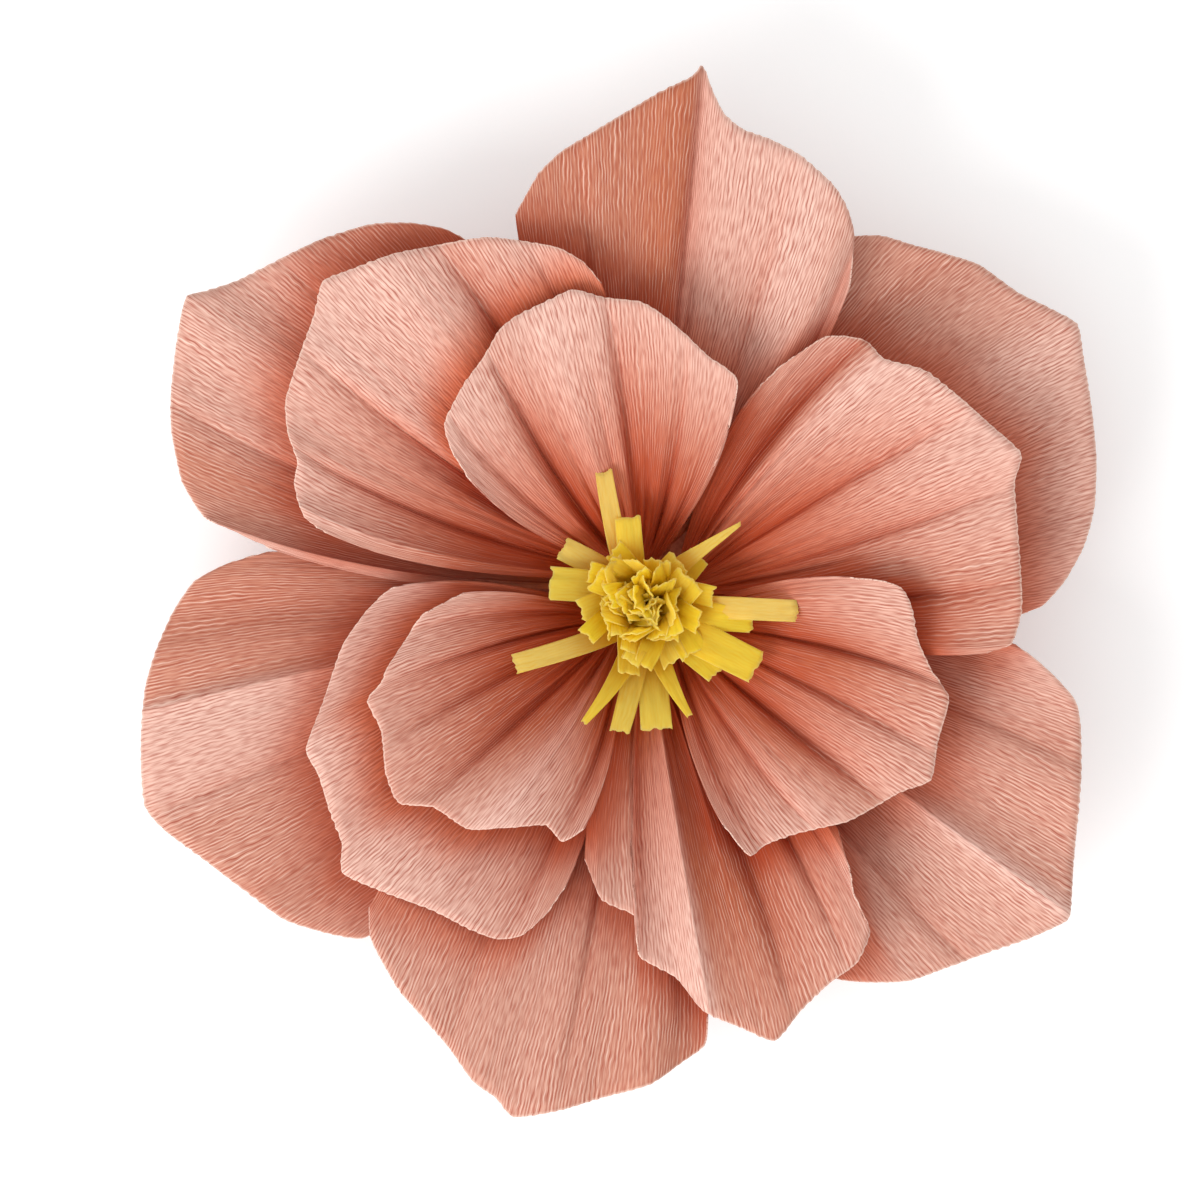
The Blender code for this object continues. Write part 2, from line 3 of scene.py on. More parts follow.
import bmesh
import bpy
import numpy as np
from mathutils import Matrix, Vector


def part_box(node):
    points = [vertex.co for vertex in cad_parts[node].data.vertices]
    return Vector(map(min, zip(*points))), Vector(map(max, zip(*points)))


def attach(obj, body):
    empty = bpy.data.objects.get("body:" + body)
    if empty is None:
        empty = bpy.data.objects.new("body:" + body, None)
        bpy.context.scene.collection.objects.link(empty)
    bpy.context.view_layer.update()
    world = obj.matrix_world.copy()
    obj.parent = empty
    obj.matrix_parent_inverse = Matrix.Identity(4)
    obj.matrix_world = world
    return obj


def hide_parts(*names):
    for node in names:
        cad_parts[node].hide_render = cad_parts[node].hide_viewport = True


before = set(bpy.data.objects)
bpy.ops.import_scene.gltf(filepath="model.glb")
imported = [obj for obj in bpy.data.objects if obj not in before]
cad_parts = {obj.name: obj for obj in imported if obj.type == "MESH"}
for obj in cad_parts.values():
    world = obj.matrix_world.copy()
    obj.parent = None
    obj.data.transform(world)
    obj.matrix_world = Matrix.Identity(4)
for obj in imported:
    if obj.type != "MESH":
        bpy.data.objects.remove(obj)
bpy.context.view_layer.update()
print("frame loaded:", len(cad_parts), "nodes")

mm = 0.001
sheetGap = 0.3  # between stacked feet
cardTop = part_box("backing_card")[1][2] / mm


def addObject(name, data):
    thing = bpy.data.objects.new(name, data)
    bpy.context.scene.collection.objects.link(thing)
    return thing


def newMaterial(name, roughness, shine):
    material = bpy.data.materials.new(name)
    material.use_nodes = True
    shader = material.node_tree.nodes["Principled BSDF"]
    shader.inputs["Roughness"].default_value = roughness
    shader.inputs["Specular IOR Level"].default_value = shine
    return material, material.node_tree, shader


def fillSockets(tree, sockets, values):
    # a number is set on its socket, anything else is linked to it
    for socket, value in zip(sockets, values):
        if isinstance(value, (int, float)):
            socket.default_value = value
        else:
            tree.links.new(value, socket)


def mathNode(tree, operation, *values):
    node = tree.nodes.new("ShaderNodeMath")
    node.operation = operation
    fillSockets(tree, node.inputs, values)
    return node.outputs[0]


def joined(tree, *values):
    node = tree.nodes.new("ShaderNodeCombineXYZ")
    fillSockets(tree, node.inputs, values)
    return node.outputs[0]


def separated(tree, vector):
    node = tree.nodes.new("ShaderNodeSeparateXYZ")
    tree.links.new(vector, node.inputs[0])
    return node.outputs


# camera: straight down on the flower, at the photo's framing

cameraView = {"aimX": -13.5, "aimY": 1.5, "height": 2400.0, "frameWidth": 360.0, "sensor": 36.0,
              "farthest": 20000.0}


def makeCamera():
    lens = bpy.data.cameras.new("flowerCamera")
    lens.sensor_width = cameraView["sensor"]
    lens.lens = cameraView["sensor"] * cameraView["height"] / cameraView["frameWidth"]
    lens.clip_end = cameraView["farthest"] * mm
    camera = addObject("flowerCamera", lens)
    camera.location = [cameraView[axis] * mm for axis in ("aimX", "aimY", "height")]
    bpy.context.scene.camera = camera
    bpy.context.scene.view_settings.view_transform = "Standard"


# light: an even sky, which gives most of it, and a weak broad lamp from below left
# of the picture

studio = {
    "sky": 0.91,
    "keyPlace": (-1000.0, -1000.0, 1100.0), "keySize": 1200.0, "keyPower": 18.0,
    "floorSize": 6000.0, "floorTone": 0.85, "floorGlow": 0.25,
}


def makeLamp():
    light = bpy.data.lights.new("keyLamp", "AREA")
    light.shape = "DISK"
    light.size = studio["keySize"] * mm
    light.energy = studio["keyPower"]
    lamp = addObject("keyLamp", light)
    lamp.location = [value * mm for value in studio["keyPlace"]]
    lamp.rotation_euler = (-lamp.location).to_track_quat("-Z", "Y").to_euler()


def backgroundRay(tree):
    # 1 where the camera sees the ground straight, in gloss or through glass
    path = tree.nodes.new("ShaderNodeLightPath")
    seen = mathNode(tree, "MAXIMUM", path.outputs["Is Camera Ray"], path.outputs["Is Glossy Ray"])
    return mathNode(tree, "MAXIMUM", seen, path.outputs["Is Transmission Ray"])


def makeWorld():
    world = bpy.data.worlds.new("studioSky")
    bpy.context.scene.world = world
    world.use_nodes = True
    tree = world.node_tree
    background = tree.nodes["Background"]
    background.inputs["Color"].default_value = (1.0, 1.0, 1.0, 1.0)
    strength = tree.nodes.new("ShaderNodeMapRange")
    strength.inputs["To Min"].default_value = studio["sky"]
    strength.inputs["To Max"].default_value = 1.0
    tree.links.new(backgroundRay(tree), strength.inputs["Value"])
    tree.links.new(strength.outputs["Result"], background.inputs["Strength"])


def makeFloor():
    half = studio["floorSize"] * mm / 2.0
    mesh = bpy.data.meshes.new("floor")
    mesh.from_pydata([(-half, -half, 0.0), (half, -half, 0.0), (half, half, 0.0), (-half, half, 0.0)],
                     [], [(0, 1, 2, 3)])
    floor = addObject("floor", mesh)
    material, tree, shader = newMaterial("paleFloor", 1.0, 0.0)
    tone = studio["floorTone"]
    shader.inputs["Base Color"].default_value = (tone, tone, tone, 1.0)
    glow = tree.nodes.new("ShaderNodeEmission")
    both = tree.nodes.new("ShaderNodeAddShader")
    strength = mathNode(tree, "MULTIPLY", backgroundRay(tree), studio["floorGlow"])
    tree.links.new(strength, glow.inputs["Strength"])
    tree.links.new(shader.outputs[0], both.inputs[0])
    tree.links.new(glow.outputs[0], both.inputs[1])
    tree.links.new(both.outputs[0], tree.nodes["Material Output"].inputs["Surface"])
    mesh.materials.append(material)


# crepe paper: creases that run with the grain, with painted shade in their valleys and painted
# highlight on their crests, read from the sheet's own attributes: grainAt (across and along in
# metres, and the sheet's number), deepToneAndShadeAt (on petals painted shade at the foot, in
# valleys and beside higher petals; on strips how deep their yellow is), openAt (gathered to
# spread), shadeAt (painted shade in the folds, as dusk) and edgeHighlightAt (painted highlight
# along the cut edge)

# the petals' light colour is the paper's own; the deep, dusk and dark colours are painted shade (dark also
# colours the random flecks), and crest and rim are painted highlight
petalCrepe = {
    "light": (0.87, 0.575, 0.485), "dusk": (0.60, 0.31, 0.20), "deepToneAndShade": (0.72, 0.19, 0.09),
    "dark": (0.36, 0.07, 0.04), "crest": (0.98, 0.73, 0.61), "rim": 0.6,
    "valleyShade": 0.95, "crestHighlight": 0.7, "fleck": 0.45,
    "pitch": 1.3, "wander": 0.95, "wiggle": 0.2, "wigglePitch": 3.0, "streak": 6.5, "width": 0.34,
    "gatherPitch": 5.0, "gatherShading": 0.25, "patch": 30.0,
    "roughness": 0.85,
}
# the strips' light and deep yellows are their own; dusk is painted shade towards their roots, dark is painted
# shade in the grooves and also colours the random flecks, and crest and rim are painted highlight
stamenCrepe = {
    "light": (0.97, 0.86, 0.38), "dusk": (1.0, 0.60, 0.10), "deepToneAndShade": (1.0, 0.90, 0.07),
    "dark": (0.90, 0.50, 0.01), "crest": (1.0, 0.93, 0.36), "rim": 0.85,
    "through": (1.0, 0.86, 0.06), "throughShare": 0.6,
    "valleyShade": 0.4, "crestHighlight": 0.5, "fleck": 0.2,
    "pitch": 1.0, "wander": 0.7, "wiggle": 0.3, "wigglePitch": 3.0, "streak": 4.0, "width": 0.5,
    "gatherPitch": 4.0, "gatherShading": 0.3, "patch": 12.0,
    "roughness": 0.85,
}
creaseForm = {  # pairs are where a share starts and is full, but for wander and fleckSize: across, along
    "wander": (5.0, 4.0), "wiggleAcross": 2.0, "breakAcross": 1.3, "broken": (0.32, 0.62),
    "leastBroken": 0.25, "crest": (0.34, 0.5), "rim": (0.8, 1.0), "patch": (0.3, 0.6),
    "leastPatch": 0.55, "spreadOut": (0.2, 0.5), "gathered": (0.75, 0.25),
    "fleckSize": (0.4, 3.0), "fleck": (0.35, 0.75), "crestLost": 0.75,
}
noiseShift = {"fine": 0.0, "wide": 7.0, "fleck": 11.0, "patch": 21.0, "aside": 1.7, "wiggle": 2.0,
              "broken": 3.0}
sheetNumberStep = 0.01
sheetStride = 40.0  # metres of noise between two sheets' numbers


def streakNoise(tree, source, pitch, streak, shift):
    stretch = tree.nodes.new("ShaderNodeMapping")
    stretch.inputs["Scale"].default_value = (1.0 / (pitch * mm), 1.0 / (streak * mm), 1.0)
    stretch.inputs["Location"].default_value = (shift, shift * noiseShift["aside"], 0.0)
    noise = tree.nodes.new("ShaderNodeTexNoise")
    noise.noise_dimensions = "2D"
    noise.inputs["Scale"].default_value = 1.0
    noise.inputs["Detail"].default_value = 0.0
    tree.links.new(source, stretch.inputs["Vector"])
    tree.links.new(stretch.outputs[0], noise.inputs["Vector"])
    return noise.outputs["Fac"]


def mixColour(tree, factor, first, second, blend="MIX"):
    mix = tree.nodes.new("ShaderNodeMix")
    mix.data_type = "RGBA"
    mix.blend_type = blend
    tree.links.new(factor, mix.inputs["Factor"])
    for identifier, value in (("A_Color", first), ("B_Color", second)):
        socket = next(socket for socket in mix.inputs if socket.identifier == identifier)
        if isinstance(value, tuple):
            socket.default_value = (*value, 1.0)
        else:
            tree.links.new(value, socket)
    return next(socket for socket in mix.outputs if socket.identifier == "Result_Color")


def readAttribute(tree, name, output="Fac"):
    node = tree.nodes.new("ShaderNodeAttribute")
    node.attribute_name = name
    return node.outputs[output]


def ramp(tree, value, low, high):
    node = tree.nodes.new("ShaderNodeMapRange")
    node.inputs["From Min"].default_value = low
    node.inputs["From Max"].default_value = high
    tree.links.new(value, node.inputs["Value"])
    return node.outputs["Result"]


def atLeast(tree, share, least):
    return mathNode(tree, "MULTIPLY_ADD", share, 1.0 - least, least)


def sheetGrain(tree):
    # each sheet reads its own stretch of the noise
    axes = separated(tree, readAttribute(tree, "grainAt", "Vector"))
    return joined(tree, mathNode(tree, "MULTIPLY_ADD", axes["Z"], sheetStride, axes["X"]), axes["Y"])


def creaseLines(tree, grain, look, pitch, shift):
    # wrinkles along the grain that wander, wiggle and break off: how far a place is
    # into a valley and how far onto a crest, each 0 to 1
    form = creaseForm
    wanderAcross, wanderAlong = form["wander"]
    wander = streakNoise(tree, grain, pitch * wanderAcross, look["streak"] * wanderAlong, shift)
    wiggle = streakNoise(tree, grain, pitch * form["wiggleAcross"], look["wigglePitch"],
                         shift + noiseShift["wiggle"])
    phase = mathNode(tree, "MULTIPLY", separated(tree, grain)["X"], 1.0 / (pitch * mm))
    phase = mathNode(tree, "MULTIPLY_ADD", wander, 2.0 * look["wander"], phase)
    phase = mathNode(tree, "MULTIPLY_ADD", wiggle, 2.0 * look["wiggle"], phase)
    away = mathNode(tree, "ABSOLUTE", mathNode(tree, "SUBTRACT", mathNode(tree, "FRACT", phase), 0.5))
    broken = streakNoise(tree, grain, pitch * form["breakAcross"], look["streak"],
                         shift + noiseShift["broken"])
    broken = atLeast(tree, ramp(tree, broken, *form["broken"]), form["leastBroken"])
    valley = mathNode(tree, "MULTIPLY", ramp(tree, away, 0.5 * look["width"], 0.0), broken)
    crest = mathNode(tree, "MULTIPLY", ramp(tree, away, *form["crest"]), broken)
    return valley, crest


def crepeMaterial(name, look):
    material, tree, shader = newMaterial(name, look["roughness"], 0.0)
    form = creaseForm
    grain = sheetGrain(tree)
    # painted highlight along the cut edge
    rim = ramp(tree, readAttribute(tree, "edgeHighlightAt"), *form["rim"])
    deepToneAndShade = readAttribute(tree, "deepToneAndShadeAt")
    opened = readAttribute(tree, "openAt")
    patch = streakNoise(tree, grain, look["patch"], look["patch"], noiseShift["patch"])
    patch = atLeast(tree, ramp(tree, patch, *form["patch"]), form["leastPatch"])
    fineShare = mathNode(tree, "MULTIPLY", ramp(tree, opened, *form["spreadOut"]), patch)
    wideShare = mathNode(tree, "MULTIPLY", ramp(tree, opened, *form["gathered"]), look["gatherShading"])
    fineLines = creaseLines(tree, grain, look, look["pitch"], noiseShift["fine"])
    wideLines = creaseLines(tree, grain, look, look["gatherPitch"], noiseShift["wide"])
    valley, crest = (mathNode(tree, "MULTIPLY_ADD", fine, fineShare, mathNode(tree, "MULTIPLY", wide, wideShare))
                     for fine, wide in zip(fineLines, wideLines))
    across, along = (look["pitch"] * size for size in form["fleckSize"])
    fleck = ramp(tree, streakNoise(tree, grain, across, along, noiseShift["fleck"]), *form["fleck"])
    # painted shade: petals turn towards the deep colour at the foot, in valleys and beside higher petals; strips
    # turn towards their deeper yellow
    base = mixColour(tree, deepToneAndShade, look["light"], look["deepToneAndShade"])
    # painted shade: the dusk colour multiplied in where shadeAt is high
    base = mixColour(tree, readAttribute(tree, "shadeAt"), base, look["dusk"], "MULTIPLY")
    base = mixColour(tree, mathNode(tree, "MULTIPLY", fleck, look["fleck"]), base, look["dark"])
    # painted highlight: paler crests on the crepe and along the cut edge, weaker where the painted shade is deep
    lit = mathNode(tree, "SUBTRACT", 1.0, mathNode(tree, "MULTIPLY", deepToneAndShade, form["crestLost"]))
    crest = mathNode(tree, "MULTIPLY", mathNode(tree, "MULTIPLY", crest, look["crestHighlight"]), lit)
    crest = mathNode(tree, "MAXIMUM", crest, mathNode(tree, "MULTIPLY", rim, look["rim"]))
    base = mixColour(tree, crest, base, look["crest"])
    # painted shade: the dark colour in the crepe's grooves
    base = mixColour(tree, mathNode(tree, "MULTIPLY", valley, look["valleyShade"]), base, look["dark"])
    tree.links.new(base, shader.inputs["Base Color"])
    if "through" in look:
        letThrough(tree, shader, look)
    return material


def letThrough(tree, shader, look):
    # thin paper that lets a share of the light through
    through = tree.nodes.new("ShaderNodeBsdfTranslucent")
    through.inputs["Color"].default_value = (*look["through"], 1.0)
    sheet = tree.nodes.new("ShaderNodeMixShader")
    sheet.inputs[0].default_value = look["throughShare"]
    tree.links.new(shader.outputs[0], sheet.inputs[1])
    tree.links.new(through.outputs[0], sheet.inputs[2])
    tree.links.new(sheet.outputs[0], tree.nodes["Material Output"].inputs["Surface"])


# node trees

def newTree(name, sockets):
    tree = bpy.data.node_groups.new(name, "GeometryNodeTree")
    tree.interface.new_socket("Geometry", in_out="INPUT", socket_type="NodeSocketGeometry")
    tree.interface.new_socket("Geometry", in_out="OUTPUT", socket_type="NodeSocketGeometry")
    for label, kind in sockets:
        tree.interface.new_socket(label, in_out="INPUT", socket_type="NodeSocket" + kind)
    return tree, tree.nodes.new("NodeGroupInput").outputs, tree.nodes.new("NodeGroupOutput")


def finishTree(tree, start, end, geometry):
    real = chain(tree, "GeometryNodeRealizeInstances", geometry)
    dressed = chain(tree, "GeometryNodeSetMaterial", real)
    tree.links.new(start["Paper"], dressed.node.inputs["Material"])
    tree.links.new(dressed, end.inputs["Geometry"])


def addTree(thing, tree, values):
    modifier = thing.modifiers.new(tree.name, "NODES")
    modifier.node_group = tree
    for item in tree.interface.items_tree:
        if item.in_out == "INPUT" and item.name in values:
            modifier[item.identifier] = values[item.name]


def chain(tree, kind, geometry):
    node = tree.nodes.new(kind)
    tree.links.new(geometry, node.inputs[0])
    return node.outputs[0]


def readField(tree, name, kind="FLOAT"):
    node = tree.nodes.new("GeometryNodeInputNamedAttribute")
    node.data_type = kind
    node.inputs["Name"].default_value = name
    return node.outputs["Attribute"]


def storeField(tree, geometry, name, value, kind="FLOAT"):
    node = tree.nodes.new("GeometryNodeStoreNamedAttribute")
    node.data_type = kind
    node.domain = "POINT"
    node.inputs["Name"].default_value = name
    tree.links.new(geometry, node.inputs["Geometry"])
    tree.links.new(value, node.inputs["Value"])
    return node.outputs["Geometry"]


def fieldNoise(tree, x, y, z):
    noise = tree.nodes.new("ShaderNodeTexNoise")
    noise.inputs["Scale"].default_value = 1.0
    noise.inputs["Detail"].default_value = 1.0
    tree.links.new(joined(tree, x, y, z), noise.inputs["Vector"])
    return mathNode(tree, "SUBTRACT", noise.outputs["Fac"], 0.5)


def shifted(tree, geometry, direction, distance):
    scale = tree.nodes.new("ShaderNodeVectorMath")
    scale.operation = "SCALE"
    tree.links.new(direction, scale.inputs[0])
    tree.links.new(distance, scale.inputs["Scale"])
    move = tree.nodes.new("GeometryNodeSetPosition")
    tree.links.new(geometry, move.inputs["Geometry"])
    tree.links.new(scale.outputs[0], move.inputs["Offset"])
    return move.outputs["Geometry"]


def shiftedOut(tree, geometry, distance):
    return shifted(tree, geometry, tree.nodes.new("GeometryNodeInputNormal").outputs[0], distance)


ridgeStride = 100.0  # noise between two sheets' numbers
stripForm = {"crinkleAtFoot": 0.35, "duskFade": 2.2, "sideEdge": 8.0, "endEdge": 14.0, "tornEnd": 12.0,
             "tornShift": 31.0}


def crepeTree():
    tree, start, end = newTree("crepeRidges", [
        ("Ridge Height", "Float"), ("Ridge Pitch", "Float"), ("Streak Length", "Float"), ("Paper", "Material")])
    grain = separated(tree, readField(tree, "grainAt", "FLOAT_VECTOR"))
    ridge = fieldNoise(tree, mathNode(tree, "DIVIDE", grain["X"], start["Ridge Pitch"]),
                       mathNode(tree, "DIVIDE", grain["Y"], start["Streak Length"]),
                       mathNode(tree, "MULTIPLY", grain["Z"], ridgeStride))
    lift = mathNode(tree, "MULTIPLY", ridge, start["Ridge Height"])
    finishTree(tree, start, end, shiftedOut(tree, start["Geometry"], lift))
    return tree


def stripTree():
    tree, start, end = newTree("crepeStrip", [
        ("Steps Along", "Int"), ("Steps Across", "Int"), ("Crinkle Height", "Float"), ("Crinkle Pitch", "Float"),
        ("Streak Length", "Float"), ("Ragged", "Float"), ("Ragged Pitch", "Float"), ("Paper", "Material")])
    guide = chain(tree, "GeometryNodeMeshToCurve", start["Geometry"])
    guide = chain(tree, "GeometryNodeResampleCurve", guide)
    tree.links.new(start["Steps Along"], guide.node.inputs["Count"])
    guide = chain(tree, "GeometryNodeSetCurveNormal", guide)
    guide.node.mode = "FREE"
    tree.links.new(readField(tree, "sideAt", "FLOAT_VECTOR"), guide.node.inputs["Normal"])
    along = tree.nodes.new("GeometryNodeSplineParameter")
    tangent = tree.nodes.new("GeometryNodeInputTangent")
    guide = storeField(tree, guide, "shareAt", along.outputs["Factor"])
    guide = storeField(tree, guide, "lengthAt", along.outputs["Length"])
    guide = storeField(tree, guide, "outAt", tangent.outputs[0], "FLOAT_VECTOR")

    line = tree.nodes.new("GeometryNodeCurvePrimitiveLine")
    line.inputs["Start"].default_value = (-0.5, 0.0, 0.0)
    line.inputs["End"].default_value = (0.5, 0.0, 0.0)
    profile = chain(tree, "GeometryNodeResampleCurve", line.outputs[0])
    tree.links.new(start["Steps Across"], profile.node.inputs["Count"])
    place = tree.nodes.new("GeometryNodeSplineParameter")
    profile = storeField(tree, profile, "acrossAt", mathNode(tree, "SUBTRACT", place.outputs["Factor"], 0.5))

    ribbon = chain(tree, "GeometryNodeCurveToMesh", guide)
    tree.links.new(profile, ribbon.node.inputs["Profile Curve"])
    tree.links.new(readField(tree, "widthAt"), ribbon.node.inputs["Scale"])
    ribbon.node.inputs["Fill Caps"].default_value = False

    length, share, seed = (readField(tree, name) for name in ("lengthAt", "shareAt", "seedAt"))
    acrossShare = readField(tree, "acrossAt")
    across = mathNode(tree, "MULTIPLY", acrossShare, readField(tree, "widthAt"))
    number = mathNode(tree, "MULTIPLY", seed, sheetNumberStep)
    sheet = storeField(tree, ribbon, "grainAt", joined(tree, across, length, number), "FLOAT_VECTOR")
    # painted shade, darker towards the strip's root
    dusk = mathNode(tree, "POWER", mathNode(tree, "SUBTRACT", 1.0, share), stripForm["duskFade"])
    sheet = storeField(tree, sheet, "shadeAt", dusk)
    # painted highlight along the strip's sides and torn end
    beside = mathNode(tree, "ABSOLUTE", mathNode(tree, "MULTIPLY", acrossShare, 2.0))
    edge = mathNode(tree, "MAXIMUM", mathNode(tree, "POWER", beside, stripForm["sideEdge"]),
                    mathNode(tree, "POWER", share, stripForm["endEdge"]))
    sheet = storeField(tree, sheet, "edgeHighlightAt", edge)
    crinkle = fieldNoise(tree, mathNode(tree, "DIVIDE", across, start["Crinkle Pitch"]),
                         mathNode(tree, "DIVIDE", length, start["Streak Length"]), seed)
    crinkle = mathNode(tree, "MULTIPLY", crinkle, start["Crinkle Height"])
    crinkle = mathNode(tree, "MULTIPLY", crinkle, atLeast(tree, share, stripForm["crinkleAtFoot"]))
    torn = fieldNoise(tree, mathNode(tree, "DIVIDE", across, start["Ragged Pitch"]), 0.5,
                      mathNode(tree, "ADD", seed, stripForm["tornShift"]))
    torn = mathNode(tree, "MULTIPLY", torn, start["Ragged"])
    torn = mathNode(tree, "MULTIPLY", torn, mathNode(tree, "POWER", share, stripForm["tornEnd"]))
    sheet = shiftedOut(tree, sheet, crinkle)
    sheet = shifted(tree, sheet, readField(tree, "outAt", "FLOAT_VECTOR"), torn)
    finishTree(tree, start, end, sheet)
    return tree


def meshWithShares(name, points, edges, faces, vectorName, vectors, shares):
    mesh = bpy.data.meshes.new(name)
    mesh.from_pydata(points.tolist(), edges, faces)
    attribute = mesh.attributes.new(vectorName, "FLOAT_VECTOR", "POINT")
    attribute.data.foreach_set("vector", vectors.reshape(-1).astype(np.float32))
    for label, share in shares.items():
        attribute = mesh.attributes.new(label, "FLOAT", "POINT")
        attribute.data.foreach_set("value", share.reshape(-1).astype(np.float32))
    return mesh


def bakeCrepe(thing, thickness, offset):
    wall = thing.modifiers.new("thickness", "SOLIDIFY")
    wall.thickness = thickness * mm
    wall.offset = offset
    depsgraph = bpy.context.evaluated_depsgraph_get()
    depsgraph.update()
    done = bpy.data.meshes.new_from_object(thing.evaluated_get(depsgraph), depsgraph=depsgraph)
    done.name = thing.name
    thing.modifiers.clear()
    guide = thing.data
    thing.data = done
    bpy.data.meshes.remove(guide)
    done.shade_smooth()


def finishPiece(thing, node):
    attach(thing, "root")
    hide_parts(node)


# petals: layers as the maker glues them, millimetres and degrees throughout

paper = 0.5  # the solids' sheet
# per layer: how far painted shade reaches from the foot, how strong the painted warm shade beside higher petals
# is, and tone, a painted shade over the whole sheet
outer = {"toe": 18.5, "halfFoot": 6.5, "rise": 0.45, "rimRise": 0.05, "reach": 160.0, "stack": 0,
         "pleat": 1.3, "cup": 2.0, "footShadeReach": 0.44, "glow": 0.8, "tone": 0.06, "columns": 300}
middle = {"toe": 15.0, "halfFoot": 7.0, "rise": 0.72, "rimRise": 0.12, "reach": 125.0, "stack": 1,
          "pleat": 1.9, "cup": 4.0, "footShadeReach": 0.60, "glow": 1.0, "tone": 0.05, "columns": 300}
inner = {"toe": 13.0, "halfFoot": 7.5, "rise": 1.08, "rimRise": 0.13, "reach": 95.0, "stack": 2,
         "pleat": 1.8, "cup": 6.0, "footShadeReach": 0.60, "glow": 0.0, "tone": 0.03, "columns": 280}
petalForm = {
    "heel": 9.0,  # how near the middle the glued foot begins
    "levelRun": 4.0, "levelRise": 0.06,  # how a petal clears a lower one of its layer
    "rows": 44, "rowCrowding": 1.25, "rimBlend": (0.55, 0.45), "rimRagged": 0.3, "raggedPitch": 2.6,
    "pleatCrest": 0.18, "pleatEnd": 0.75, "pleatFade": 1.3, "pleatPower": 0.8,
    "pleatSpread": (0.85, 0.5, 5.0),  # the even share of a pleat, the uneven one and its pitch
    "fineGather": 0.6, "finePitch": 0.75, "undulation": 1.8, "undulationPitch": 30.0,
    "steepSide": 0.22,  # a crease's steep flank against its gentle one
    "ridgeHeight": 0.8, "ridgePitch": 3.4, "streakLength": 30.0, "thickness": 0.4,
}
# painted shade and painted highlight on the petals: deep colour at the foot, in pleat and fold valleys and
# beside higher petals' rims, less on fold ridges; dusk towards the foot; a highlight band along the rim
petalShadeAndHighlight = {
    "foot": 0.95, "valley": 0.15, "fold": (0.07, 5.0), "ridge": (0.04, 4.0),
    "heart": 1.2, "heartReach": 0.62,  # the dusk towards the foot
    "glowReach": 12.0,  # how far the warm light beside a higher petal's rim goes
    "rimBand": 3.5,
}
seedShift = {"rim": 40, "pleats": 60, "gathers": 70, "undulation": 90, "pictured": 500, "ringStep": 50}
